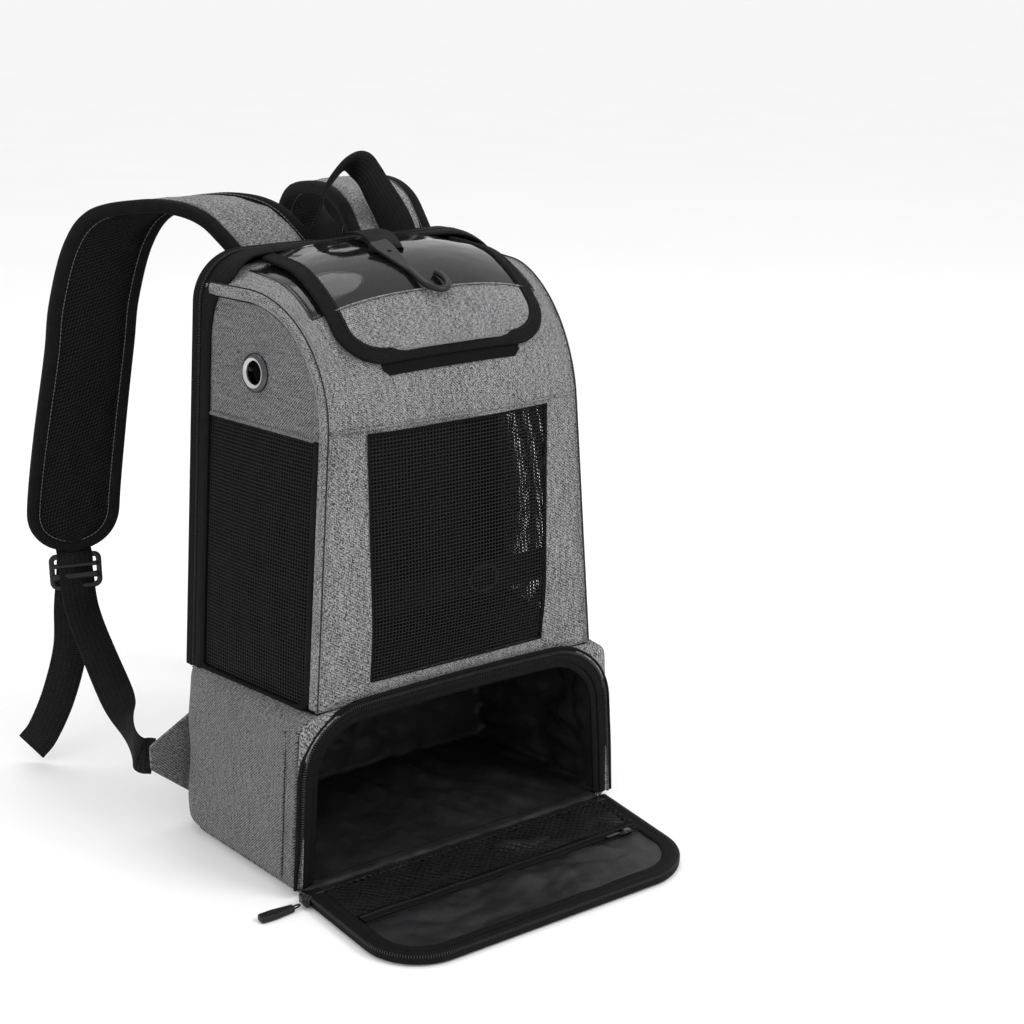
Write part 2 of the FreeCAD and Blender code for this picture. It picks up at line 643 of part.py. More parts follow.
def build_webbing(side, label):
    """The lower webbing: a leg from the corner tab up to the buckle, and the free tail."""
    x, y, _ = strap_spot(side, 187, 0)
    tip = (side * 191, 108, 63)
    across = (0.75, 0.5 * side, 0)
    leg = [(tip, (0.05, -0.25 * side, 1)),
           (((x + tip[0] * 2) / 3, (y + tip[1] * 2) / 3, 84), (0.3, 0.2 * side, 0.8)),
           (((x * 2 + tip[0]) / 3, (y * 2 + tip[1]) / 3, 122), across),
           ((x, y - 4, 164), (1, 0.2 * side, 0))]
    ribbon(f"web_leg_{label}", leg, "strap_web", "webbing_thick")
    tail = [((x, y + 10, 186), (1, 0.2 * side, 0)), ((x + 3 * side, y + 15, 120), across),
            ((x + 12 * side, y + 26, 60), across), ((x + 24 * side, y + 40, 20), across),
            ((x + 36 * side, y + 52, 10), across)]
    ribbon(f"web_tail_{label}", tail, "strap_web", "webbing_thick")
    if side < 0:
        tab = [("0 - 165", "14"), ("0 - 160", "92"), ("0 - 182", "74"), ("0 - 187", "54")]
        body = plate("CornerTab", tab, "tab_thick", front_view(size("back_plane") + 5.5))
        mirrored(keep(body, "corner_tab_left"), "corner_tab_right")


# ---------------------------------------------------------------- top flap and hook

def build_flap():
    rear = "flap_rear"
    gap, thick = "flap_gap", "flap_thick"
    over = shell_profile("FlapSheet", gap, thick, rear, "0 - flap_half", "flap_half")
    shape = [("0 - flap_half", "flap_low"), ("flap_half", "flap_low"),
             ("flap_half", "crown_top + 30"), ("0 - flap_half", "crown_top + 30")]
    pattern = plate("FlapPattern", shape, "220", front_view(100),
                    {0: "flap_round", 1: "flap_round"})
    inside = "flap_half - binding_wide"
    sill = "flap_low + binding_wide"
    split = "crown_top - flap_split"
    panel = block("FlapPanelBounds", (f"0 - ( {inside} ) + 0.2", "0 - 110", f"{sill} + 0.2"),
                  (f"{inside} - 0.2", "0", f"{split} - 0.2"))
    keep(common("FlapPanel", over, pattern, panel), "flap_panel")
    glass = block("FlapWindowBounds", (f"0 - ( {inside} ) + 0.2", "0 - 110", split),
                  (f"{inside} - 0.2", "46", "crown_top + 30"))
    keep(common("FlapWindow", over, pattern, glass), "flap_window")
    middle = block("FlapMiddle", (f"0 - ( {inside} )", "0 - 110", sill),
                   (inside, "46.2", "crown_top + 30"))
    keep(cut("FlapBinding", common("FlapWhole", over, pattern), middle), "flap_binding")
    strip("HookPatch", "flap_hook_patch", "1.6", "patch_thick", "zip_front",
          ("0 - patch_half", "0 - shell_front - 20", "flap_low + 1"),
          ("patch_half - 2", "0", "flap_low + patch_high"))


def build_hook():
    """A hook on a webbing strap that lies across the flap."""
    over = "flap_gap + flap_thick + 0.5"
    strip("HookStrap", "hook_strap", over, "webbing_thick", "flap_rear",
          ("0 - hook_strap_left", "hook_strap_front", "crown_top"),
          ("hook_strap_right", "flap_rear", "crown_top + 30"))
    # seen from above, the stem runs to the front and curls up again at its end
    stem = [("0 - 5", "4"), ("0 - 14", "0"), ("0 - 14", "0 - 8"), ("0 - 4", "0 - 50"),
            ("2", "0 - 58"), ("11", "0 - 58"), ("16", "0 - 50"), ("14", "0 - 40"),
            ("10", "0 - 41"), ("10", "0 - 49"), ("6", "0 - 52"), ("3", "0 - 47"),
            ("10", "0 - 8"), ("10", "0")]
    tilt = Placement(Vector(0, -2, amount("crown_top + flap_gap + flap_thick + 2")),
                     Rotation(Vector(1, 0, 0), 21))
    keep(plate("Hook", stem, "hook_thick", tilt, None, [("0 - 6", "0 - 4", "3")]), "hook")


# ---------------------------------------------------------------- base door

def door_outline(inset):
    near = f"0 - fold_line - 0.5 - ( {inset} ) * 0.2"
    far = f"0 - fold_line - door_long + {inset}"
    left = f"door_shift - door_half + {inset}"
    right = f"door_shift + door_half - ( {inset} )"
    return [(left, near), (left, far), (right, far), (right, near)]


def door_sheet(name, inset, thick, z):
    radius = f"door_round - ( {inset} )"
    return plate(name, door_outline(inset), thick, plan_view(z), {1: radius, 2: radius})


def build_door():
    keep(door_sheet("DoorPanel", "door_rim + 0.2", "7", 0), "door_panel")
    rim = door_sheet("DoorRimOuter", "0", "door_thick - 1", 0.5)
    hole = door_sheet("DoorRimInner", "door_rim", "door_thick * 2", -5)
    gate = block("DoorRimGate", ("door_shift - door_half + door_rim", "0 - fold_line - 4", "0 - 5"),
                 ("door_shift + door_half - door_rim", "0 - fold_line + 4", "20"))
    keep(cut("DoorRim", rim, join("DoorRimHoles", hole, gate)), "door_zip_rim")
    keep(door_sheet("DoorLining", "door_rim + 1", "1.6", 7.2), "door_lining")
    left = "door_shift - door_half + door_rim + 2"
    right = "door_shift + door_half - door_rim - 2"
    near, far = "0 - fold_line - 8", "0 - fold_line - pocket_line"
    pocket = [(left, near), (left, far), (right, far), (right, near)]
    keep(plate("DoorPocket", pocket, "pocket_thick", plan_view(9)), "door_pocket")
    track = "0 - fold_line - pocket_line - 7"
    stop, start = "100", "100 + slider_long"
    slider = [(stop, track), (start, track), (start, f"{track} + 6"), (stop, f"{track} + 6")]
    body = plate("PocketSlider", slider, "3", plan_view(9.2), {0: "1", 1: "1", 2: "1", 3: "1"})
    pull = block("PocketPull", (f"{stop} - 14", f"{track} + 1.5", "10.4"),
                 (f"{stop} + 1", f"{track} + 4.5", "11.6"))
    keep(join("PocketZip", body, pull), "pocket_slider")


def build_sliders():
    """Base zip slider at the fold end of the door's left edge, main zip slider on the right."""
    edge = "door_shift - door_half - seam_gap"
    rear = "0 - fold_line - 2"
    keep(block("DoorSliderBlock", (f"{edge} - 6", f"{rear} - slider_long", "2"),
               (edge, rear, "12")), "door_slider")
    near, far = f"{edge} - 9.2", f"{edge} - 41.7"
    front, back = f"{rear} - 10", f"{rear} - 2"
    pull = [(far, front), (near, front), (near, back), (far, back)]
    keep(plate("DoorPull", pull, "pull_thick", plan_view(0.5), {0: "3.5", 3: "3.5"}), "door_pull")

    lean = math.degrees(math.atan2(size("ring_half_low") - size("ring_half_high"),
                                   size("ring_top") - size("base_tall")))
    turn = Rotation(Vector(0, 1, 0), -lean)
    z = 232
    share = (z - size("base_tall")) / (size("ring_top") - size("base_tall"))
    x = size("ring_half_low") + share * (size("ring_half_high") - size("ring_half_low")) + 1.4
    start = Placement(Vector(x, 0, z), turn)
    slider = [("0", "66"), ("5", "67"), ("5", "76"), ("0", "77")]
    keep(plate("MainSlider", slider, "13", start), "main_slider")
    tab = [("6.2", "68"), ("8.2", "68"), ("8.2", "75"), ("6.2", "75")]
    keep(plate("MainPull", tab, "36", start.multiply(plan_view(-30.5))), "main_pull")


# ---------------------------------------------------------------- inside strap

def build_inside():
    """A securing strap across the main compartment, with a loop on it."""
    keep(block("InnerStrap", ("0 - inner_strap_half", "0 - shell_front + 12", "inner_strap_low"),
               ("inner_strap_half", "0 - shell_front + 12 + webbing_thick",
                "inner_strap_low + inner_strap_wide")), "inner_strap")


build_base()
build_upper()
build_zip()
build_back()
build_handle()
build_straps()
build_flap()
build_hook()
build_door()
build_sliders()
build_inside()
doc.recompute()

failed = [item.Label for item in doc.Objects if {"Invalid", "Error"} & set(item.State)]
if failed:
    raise SystemExit("objects that did not compute: " + ", ".join(failed))
for node in nodes:
    if node.Shape.isNull() or not node.Shape.isValid() or not node.Shape.Solids:
        raise SystemExit(f"{node.Label} has no valid solid")

os.makedirs("parts", exist_ok=True)
for node in nodes:
    node.Shape.exportStep(f"parts/{node.Label}.step")
print(len(nodes), "sub-parts")
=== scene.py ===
import math

import bmesh
import bpy
import numpy as np
from mathutils import Matrix, Vector


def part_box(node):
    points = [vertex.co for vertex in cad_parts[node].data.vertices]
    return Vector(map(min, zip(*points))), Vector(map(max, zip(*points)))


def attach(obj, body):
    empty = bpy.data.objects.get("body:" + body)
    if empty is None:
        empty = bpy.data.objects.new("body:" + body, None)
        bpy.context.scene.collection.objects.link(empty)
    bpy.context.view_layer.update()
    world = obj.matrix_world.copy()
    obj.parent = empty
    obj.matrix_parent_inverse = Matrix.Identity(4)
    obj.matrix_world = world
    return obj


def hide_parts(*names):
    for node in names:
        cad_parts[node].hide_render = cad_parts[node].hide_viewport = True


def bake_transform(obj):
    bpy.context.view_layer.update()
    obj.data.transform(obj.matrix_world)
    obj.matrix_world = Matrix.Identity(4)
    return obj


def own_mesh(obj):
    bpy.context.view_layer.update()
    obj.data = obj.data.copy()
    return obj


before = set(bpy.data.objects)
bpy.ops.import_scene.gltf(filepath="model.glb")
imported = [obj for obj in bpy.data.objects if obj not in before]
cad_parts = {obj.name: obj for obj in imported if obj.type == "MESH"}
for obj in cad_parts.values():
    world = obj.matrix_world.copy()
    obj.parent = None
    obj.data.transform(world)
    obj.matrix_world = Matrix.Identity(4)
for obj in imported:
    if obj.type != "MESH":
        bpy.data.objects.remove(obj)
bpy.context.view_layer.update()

bl_info = {
    "name": "Device Backpack",
    "version": (1, 0, 0),
    "blender": (4, 5, 0),
    "location": "3D View > Sidebar > Backpack",
    "description": "Dresses a packed backpack frame in cloth, net, zips and webbing",
    "category": "Object",
}

# ------------------------------------------------------------------ shape of the bag, in metres

SHELF = 0.1413          # height where the upper body stands on the base
BACK = 0.081            # rear edge of the main zip
FRONT = -0.080          # front face of the base
TURN = 0.347            # height where the front band starts to turn over the top
TURN_AT = 0.015         # how far behind the origin the middle of that turn is
TURN_REACH = 0.093      # radius of that turn at the side seams
LEAN_UP = 0.0787        # how fast each side of the upper body leans in with height
LEAN_FRONT = 0.166      # and towards the front
ARC = 0.168             # length of that turn along the band
ZIP_EDGE = 0.062        # where the main zip's tape starts
NET_TOP = 0.344         # top of the side nets
WINDOW = (0.079, 0.157, 0.347)          # half width, bottom and top of the front net
FILM_HALF = 0.098
FLAP_HALF = 0.090
CLOTH = 0.0035          # padded cloth of the upper body
WELD = 1e-6             # points nearer than this are one
COIL_FLATNESS = 0.36
COIL_WIDE = 1.15        # the base's coil is this much coarser than the main one
DOOR_LONG = 0.133       # from the door's fold to its free edge
DOOR_CORNER = 0.046
DOOR_TAPER = 0.045      # how fast each side of the door draws in
FLAP_FRONT = 0.0480     # the flap's front edge, along the band
FLAP_CORNER = 0.034
AHEAD = (0.0, -1.0, 0.0)
UP = (0.0, 0.0, 1.0)
SIDES = ((-1, "left"), (1, "right"))


def upper_half(y, z):
    """Half width of the upper body."""
    return 0.1523 - LEAN_UP * (z - SHELF) - LEAN_FRONT * (BACK - y)


def base_half(y, z):
    """Half width of the base compartment."""
    return 0.1665 - 0.07 * z - 0.09 * (BACK - y)


def smooth(t):
    t = np.clip(t, 0, 1)
    return t * t * (3 - 2 * t)


def ripple(points, wave, height, seed):
    """Smooth waves of no fixed direction, for cloth that doesn't lie quite flat."""
    rng = np.random.default_rng(seed)
    total = np.zeros(points.shape[:-1])
    for _ in range(14):
        way = rng.normal(size=3)
        way *= rng.uniform(0.6, 1.7) / (np.linalg.norm(way) * wave)
        total += np.sin(points @ way * 2 * np.pi + rng.uniform(0, 6.28))
    return total * height / 14 ** 0.5


def band(u, s):
    """A point of the front band: u across from -1 to 1, s along it, 0 where the turn starts."""
    u, s = np.broadcast_arrays(np.asarray(u, float), np.asarray(s, float))
    m = 1 - np.abs(u) ** 3
    middle = TURN_AT + 0.005 * m
    deep, tall = TURN_REACH + 0.013 * m, TURN_REACH + 0.018 * m
    t = np.clip(s / ARC, 0, 1) * np.pi / 2
    z = TURN + np.minimum(s, 0) + tall * np.sin(t)
    swell = np.where(s < 0, smooth((z - SHELF) / 0.07), 1)
    y = middle - (deep - 0.008 * m * (1 - swell)) * np.cos(t) + np.maximum(s - ARC, 0)
    return np.stack([u * upper_half(y, z), y, z], -1)


def on_band(x, s, off=0.0):
    """The same surface reached by its distance x across, raised by off."""
    x, s, off = np.broadcast_arrays(*(np.asarray(v, float) for v in (x, s, off)))
    u = x / 0.12
    for _ in range(6):
        p = band(u, s)
        u = np.clip(x / upper_half(p[..., 1], p[..., 2]), -1.05, 1.05)
    step = 5e-4
    along = band(u, s + step) - band(u, s - step)
    across = band(u + step, s) - band(u - step, s)
    out = np.cross(across, along)
    out /= np.linalg.norm(out, axis=-1, keepdims=True)
    return band(u, s) + out * off[..., None]


def seam_height(y):
    """Height of the seam between the front band and a side, at a distance y."""
    y = np.asarray(y, float)
    rise = np.sqrt(np.clip(TURN_REACH ** 2 - (y - TURN_AT) ** 2, 0, None))
    return TURN + np.where(y < TURN_AT, rise, TURN_REACH)


# ------------------------------------------------------------------ mesh helpers

def link(name, mesh):
    piece = bpy.data.objects.new(name, mesh)
    bpy.context.scene.collection.objects.link(piece)
    return piece


def cloth_uv(mesh, uv):
    """Stores two lengths for each vertex, the weave's own coordinates."""
    layer = mesh.uv_layers.new(name="Cloth")
    index = np.empty(len(mesh.loops), np.int64)
    mesh.loops.foreach_get("vertex_index", index)
    layer.data.foreach_set("uv", np.asarray(uv, np.float32)[index].ravel())


def finish_mesh(name, verts, faces, uv, smooth_faces=True):
    mesh = bpy.data.meshes.new(name)
    mesh.from_pydata([tuple(v) for v in verts], [], faces)
    cloth_uv(mesh, uv)
    mesh.polygons.foreach_set("use_smooth", [smooth_faces] * len(mesh.polygons))
    return link(name, mesh)


def xyz(x, y, z):
    """Points from coordinates that are numbers or arrays."""
    return np.stack(np.broadcast_arrays(x, y, z), -1)


def unit(v):
    return v / np.linalg.norm(v, axis=-1, keepdims=True)


def lengths(path):
    """How far along a polyline each of its points is."""
    return np.concatenate([[0], np.cumsum(np.linalg.norm(np.diff(path, axis=0), axis=1))])


def lengths_uv(grid_points):
    """Distances along a grid's rows and columns, in metres, for the weave."""
    along = np.linalg.norm(np.diff(grid_points, axis=0), axis=-1).mean(1)
    across = np.linalg.norm(np.diff(grid_points, axis=1), axis=-1).mean(0)
    a = np.concatenate([[0], np.cumsum(along)])
    b = np.concatenate([[0], np.cumsum(across)])
    return np.stack(np.meshgrid(a, b, indexing="ij"), -1)


def grid(name, points, keep=None, ring=False, uv=None, flip=False):
    """A sheet of quads over points[i, j]; ring joins the last column to the first."""
    rows, cols = points.shape[:2]
    if uv is None:
        uv = lengths_uv(points)
    if ring:
        points = np.concatenate([points, points[:, :1]], 1)
        last = uv[:, -1:] + (uv[:, -1:] - uv[:, -2:-1])
        uv = np.concatenate([uv, last], 1)
        cols += 1
    faces = []
    for i in range(rows - 1):
        for j in range(cols - 1):
            if keep is None or keep[i, j]:
                a = i * cols + j
                quad = (a, a + cols, a + cols + 1, a + 1)
                faces.append(quad[::-1] if flip else quad)
    piece = finish_mesh(name, points.reshape(-1, 3), faces, uv.reshape(-1, 2))
    if ring:
        weld(piece, WELD)
    return piece


def weld(piece, distance):
    work = bmesh.new()
    work.from_mesh(piece.data)
    loose = [v for v in work.verts if not v.link_faces]
    bmesh.ops.delete(work, geom=loose, context="VERTS")
    bmesh.ops.remove_doubles(work, verts=work.verts, dist=distance)
    work.to_mesh(piece.data)
    work.free()
    return piece


def outward(piece):
    """Turns a closed mesh's faces outwards."""
    work = bmesh.new()
    work.from_mesh(piece.data)
    bmesh.ops.remove_doubles(work, verts=work.verts, dist=WELD)
    bmesh.ops.recalc_face_normals(work, faces=work.faces)
    work.to_mesh(piece.data)
    work.free()
    return piece


def freeze(piece):
    """Leaves the evaluated mesh on a piece and no modifier."""
    graph = bpy.context.evaluated_depsgraph_get()
    graph.update()
    mesh = bpy.data.meshes.new_from_object(piece.evaluated_get(graph))
    piece.modifiers.clear()
    piece.data = mesh
    return piece


def bevel_edges(piece, width, segments, angle):
    """Rounds the edges that turn by more than an angle in degrees."""
    edge = piece.modifiers.new("Edge", "BEVEL")
    edge.width = width
    edge.segments = segments
    edge.limit_method = "ANGLE"
    edge.angle_limit = math.radians(angle)


def thicken(piece, thick, offset=-1.0, inner=None, bevel=0.0):
    """Gives a sheet its thickness, and its inside another material where asked."""
    weld(piece, WELD)
    mod = piece.modifiers.new("Wall", "SOLIDIFY")
    mod.thickness = thick
    mod.offset = offset
    mod.use_even_offset = False
    if inner is not None:
        for _ in range(2):
            piece.data.materials.append(inner)
        mod.material_offset = 1
    if bevel:
        bevel_edges(piece, bevel, 2, 50)
    return freeze(piece)


def join_all(name, pieces):
    """One mesh out of several."""
    work = bmesh.new()
    mesh = bpy.data.meshes.new(name)
    materials = []
    for piece in pieces:
        start = len(work.faces)
        own = list(piece.data.materials)
        base = len(materials)
        materials += own
        work.from_mesh(piece.data)
        work.faces.ensure_lookup_table()
        for face in work.faces[start:]:
            face.material_index += base
    work.to_mesh(mesh)
    work.free()
    for material in materials:
        mesh.materials.append(material)
    for piece in pieces:
        bpy.data.objects.remove(piece)
    return link(name, mesh)


def rounded(corners, radii, step=0.002):
    """A polyline through corners with each inner one turned into an arc of its radius."""
    pts = [np.asarray(c, float) for c in corners]
    path = [pts[0]]
    for before, corner, after, radius in zip(pts, pts[1:], pts[2:], radii):
        a = (before - corner) / np.linalg.norm(before - corner)
        b = (after - corner) / np.linalg.norm(after - corner)
        half = math.acos(float(np.clip(a @ b, -1, 1))) / 2
        if radius <= 0 or half > math.pi / 2 - 1e-3:
            path.append(corner)
            continue
        reach = radius / math.tan(half)
        centre = corner + (a + b) / np.linalg.norm(a + b) * radius / math.sin(half)
        start, end = corner + a * reach - centre, corner + b * reach - centre
        sweep_angle = math.pi - 2 * half
        count = max(4, int(radius * sweep_angle / step))
        for k in range(count + 1):
            t = k / count
            w0 = math.sin((1 - t) * sweep_angle) / math.sin(sweep_angle)
            w1 = math.sin(t * sweep_angle) / math.sin(sweep_angle)
            path.append(centre + start * w0 + end * w1)
    path.append(pts[-1])
    return np.array(path)


def resample(values, count, line=None):
    """count values evenly spaced along a polyline, which is the values themselves if not given."""
    run = lengths(values if line is None else line)
    at = np.linspace(0, run[-1], count)
    return np.stack([np.interp(at, run, column) for column in values.T], 1)


def curve_through(points, count):
    """A smooth curve through points, evenly resampled."""
    p = np.asarray(points, float)
    p = np.concatenate([2 * p[:1] - p[1:2], p, 2 * p[-1:] - p[-2:-1]])
    out = []
    for i in range(1, len(p) - 2):
        for t in np.linspace(0, 1, 16, endpoint=False):
            a, b, c, d = p[i - 1:i + 3]
            out.append(0.5 * (2 * b + (c - a) * t + (2 * a - 5 * b + 4 * c - d) * t ** 2
                              + (3 * b - a - 3 * c + d) * t ** 3))
    out.append(p[-2])
    return resample(np.array(out), count)


def tangents(path):
    return unit(np.gradient(path, axis=0))


def sweep(name, path, side, face, section, closed=False):
    """Carries a closed section (a along side, b along face) down a path."""
    section = np.asarray(section, float)
    points = (path[:, None] + section[None, :, 0, None] * side[:, None]
              + section[None, :, 1, None] * face[:, None])
    rows, cols = points.shape[:2]
    round_it = lengths(np.concatenate([section, section[:1]]))
    verts = np.concatenate([points, points[:, :1]], 1)
    uv = np.stack(np.meshgrid(lengths(path), round_it, indexing="ij"), -1)
    flat = verts.reshape(-1, 3)
    wide = cols + 1
    faces = [(i * wide + j, i * wide + j + 1, (i + 1) * wide + j + 1, (i + 1) * wide + j)
             for i in range(rows - 1) for j in range(cols)]
    if closed:
        faces += [((rows - 1) * wide + j, (rows - 1) * wide + j + 1, j + 1, j)
                  for j in range(cols)]
    else:
        faces.append(tuple(range(cols))[::-1])
        faces.append(tuple((rows - 1) * wide + j for j in range(cols)))
    return outward(finish_mesh(name, flat, faces, uv.reshape(-1, 2)))


def oval(wide, tall, count=12, power=1.0):
    """An oval section; power under 1 squares it off."""
    t = np.linspace(0, 2 * np.pi, count, endpoint=False)
    c, s = np.cos(t), np.sin(t)
    return np.stack([np.sign(c) * np.abs(c) ** power * wide / 2,
                     np.sign(s) * np.abs(s) ** power * tall / 2], -1)


def ribbon(name, path, across, wide, thick):
    """Flat webbing: a path, the direction of its width at each point and its section."""
    run = tangents(path)
    across = unit(across - run * (across * run).sum(1, keepdims=True))
    face = np.cross(run, across)
    a, b, edge = wide / 2, thick / 2, 0.0004
    section = [(-a, -b * 0.3), (-a + edge, -b), (a - edge, -b), (a, -b * 0.3),
               (a, b * 0.3), (a - edge, b), (-a + edge, b), (-a, b * 0.3)]
    return sweep(name, path, across, face, section)


def prism(name, outline, low, high, place=None, bevel=0.0006, segments=2):
    """A flat plate cut to an outline, between two heights of its own, then put in its place."""
    outline = np.asarray(outline, float)
    count = len(outline)
    verts = [(x, y, z) for z in (low, high) for x, y in outline]
    faces = [tuple(range(count))[::-1], tuple(range(count, 2 * count))]
    faces += [(i, (i + 1) % count, count + (i + 1) % count, count + i) for i in range(count)]
    uv = np.concatenate([outline, outline])
    piece = outward(finish_mesh(name, verts, faces, uv, smooth_faces=False))
    if bevel:
        bevel_edges(piece, bevel, segments, 40)
        freeze(piece)
    if place is not None:
        piece.data.transform(place)
    return piece


def basis(right, up, out, origin):
    """A placement whose x, y and z run along three directions."""
    m = Matrix.Identity(4)
    for k, axis in enumerate((right, up, out, origin)):
        for row in range(3):
            m[row][k] = axis[row]
    return m


def dress(piece, paint, body, slot, *nodes):
    """Paint, body, record slot (not used) and the CAD nodes a piece stands for."""
    if not piece.data.materials:
        piece.data.materials.append(PAINTS[paint])
    elif paint is not None:
        piece.data.materials[0] = PAINTS[paint]
    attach(piece, body)
    if nodes:
        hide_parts(*nodes)
    return piece


# ------------------------------------------------------------------ geometry node trees

class Tree:
    """A geometry node tree with one geometry in and out, named lengths and a material."""

    def __init__(self, name, **values):
        self.group = bpy.data.node_groups.new(name, "GeometryNodeTree")
        face = self.group.interface
        face.new_socket("Geometry", in_out="INPUT", socket_type="NodeSocketGeometry")
        for label, value in values.items():
            face.new_socket(label, in_out="INPUT", socket_type="NodeSocketFloat").default_value = value
        face.new_socket("Material", in_out="INPUT", socket_type="NodeSocketMaterial")
        face.new_socket("Geometry", in_out="OUTPUT", socket_type="NodeSocketGeometry")
        self.given = self.group.nodes.new("NodeGroupInput").outputs

    def add(self, kind, settings=None, **inputs):
        node = self.group.nodes.new(kind)
        for key, value in (settings or {}).items():
            setattr(node, key, value)
        for key, value in inputs.items():
            socket = node.inputs[key.replace("_", " ")]
            if isinstance(value, bpy.types.NodeSocket):
                self.group.links.new(value, socket)
            else:
                socket.default_value = value
        return node

    def curve(self):
        return self.add("GeometryNodeMeshToCurve", Mesh=self.given["Geometry"]).outputs[0]

    def repeat(self, instance, **scale):
        """The piece's lines with an instance at every Pitch along them."""
        spots = self.add("GeometryNodeCurveToPoints", {"mode": "LENGTH"}, Curve=self.curve(),
                         Length=self.given["Pitch"])
        copies = self.add("GeometryNodeInstanceOnPoints", Points=spots.outputs["Points"],
                          Instance=instance.outputs["Mesh"], Rotation=spots.outputs["Rotation"],
                          **scale)
        return self.close(copies.outputs[0])

    def close(self, geometry):
        real = self.add("GeometryNodeRealizeInstances", Geometry=geometry)
        paint = self.add("GeometryNodeSetMaterial", Geometry=real.outputs[0],
                         Material=self.given["Material"])
        out = self.group.nodes.new("NodeGroupOutput")
        self.group.links.new(paint.outputs[0], out.inputs[0])
        return self.group


def net_tree():
    """Strands along every edge of a grid."""
    tree = Tree("Net", Strand=0.0003)
    ring = tree.add("GeometryNodeCurvePrimitiveCircle", Resolution=4, Radius=tree.given["Strand"])
    strands = tree.add("GeometryNodeCurveToMesh", Curve=tree.curve(), Profile_Curve=ring.outputs[0])
    return tree.close(strands.outputs[0])


def bead_tree():
    """Flat beads along a line, close together: the coil of a zip."""
    tree = Tree("Coil", Pitch=0.0015, Radius=0.001, Flatness=0.4)
    bead = tree.add("GeometryNodeMeshIcoSphere", Radius=tree.given["Radius"], Subdivisions=2)
    squeeze = tree.add("ShaderNodeCombineXYZ", X=1.0, Y=1.0, Z=tree.given["Flatness"])
    return tree.repeat(bead, Scale=squeeze.outputs[0])


def stitch_tree():
    """Short threads along a line, with gaps."""
    tree = Tree("Stitches", Pitch=0.0034, Length=0.0024, Radius=0.0003)
    thread = tree.add("GeometryNodeMeshCylinder", Vertices=5, Radius=tree.given["Radius"],
                      Depth=tree.given["Length"])
    return tree.repeat(thread)


TREES = {}


def run_tree(piece, maker, **values):
    """Runs a tree on a piece and leaves the plain mesh."""
    group = TREES.get(maker) or TREES.setdefault(maker, maker())
    mod = piece.modifiers.new(group.name, "NODES")
    mod.node_group = group
    for item in group.interface.items_tree:
        if item.in_out == "INPUT" and item.name in values:
            mod[item.identifier] = values[item.name]
    return freeze(piece)


def line_piece(name, *paths):
    """Loose polylines, for a tree to follow."""
    verts, edges = [], []
    for path in paths:
        start = len(verts)
        verts += [tuple(p) for p in path]
        edges += [(start + i, start + i + 1) for i in range(len(path) - 1)]
    mesh = bpy.data.meshes.new(name)
    mesh.from_pydata(verts, edges, [])
    return link(name, mesh)


def net(piece, strand, body, *nodes):
    """Turns a piece's edges into netting."""
    return dress(run_tree(piece, net_tree, Material=PAINTS["net"], Strand=strand), None, body,
                 "black_mesh", *nodes)


def coil(name, line, pitch, radius, body, *nodes):
    """The coil of a zip along a line."""
    beads = run_tree(line_piece(name, line), bead_tree, Material=PAINTS["coil"], Pitch=pitch,
                     Radius=radius, Flatness=COIL_FLATNESS)
    return dress(beads, None, body, "zip_tape", *nodes)


def stitches(name, lines, body, slot, pitch, length, radius, thread="dark_thread"):
    """Rows of stitches along lines."""
    rows = run_tree(line_piece(name, *lines), stitch_tree, Material=PAINTS[thread], Pitch=pitch,
                    Length=length, Radius=radius)
    return dress(rows, None, body, slot)


def trim(name, path, face, section, material, body, slot, *nodes):
    """A binding, cord or tape along a path; face says which way its section's height goes."""
    face = np.broadcast_to(face, path.shape)
    piece = sweep(name, path, np.cross(tangents(path), face), face, section)
    return dress(piece, material, body, slot, *nodes)


def ring_sweep(name, ring, face, section):
    """The same along a closed path, with no material yet."""
    run = unit(np.roll(ring, -1, 0) - np.roll(ring, 1, 0))
    face = np.broadcast_to(face, ring.shape)
    return sweep(name, ring, np.cross(run, face), face, section, closed=True)


# ------------------------------------------------------------------ materials

def tint(tone, gain):
    return [t * gain for t in tone]


class Term:
    """A number in a material, so that shader maths reads as Python."""

    def __init__(self, paint, socket):
        self.paint = paint
        self.socket = socket

    def join(self, operation, first, second):
        node = self.paint.add("ShaderNodeMath", {"operation": operation}, {0: first, 1: second})
        return Term(self.paint, node.outputs[0])

    def __add__(self, other):
        return self.join("ADD", self, other)

    def __sub__(self, other):
        return self.join("SUBTRACT", self, other)

    def __mul__(self, other):
        return self.join("MULTIPLY", self, other)

    def __rsub__(self, other):
        return self.join("SUBTRACT", other, self)

    __radd__ = __add__
    __rmul__ = __mul__

    def sine(self):
        return self.join("SINE", self, 0.0)

    def clamp(self):
        node = self.paint.add("ShaderNodeClamp", {}, {0: self})
        return Term(self.paint, node.outputs[0])


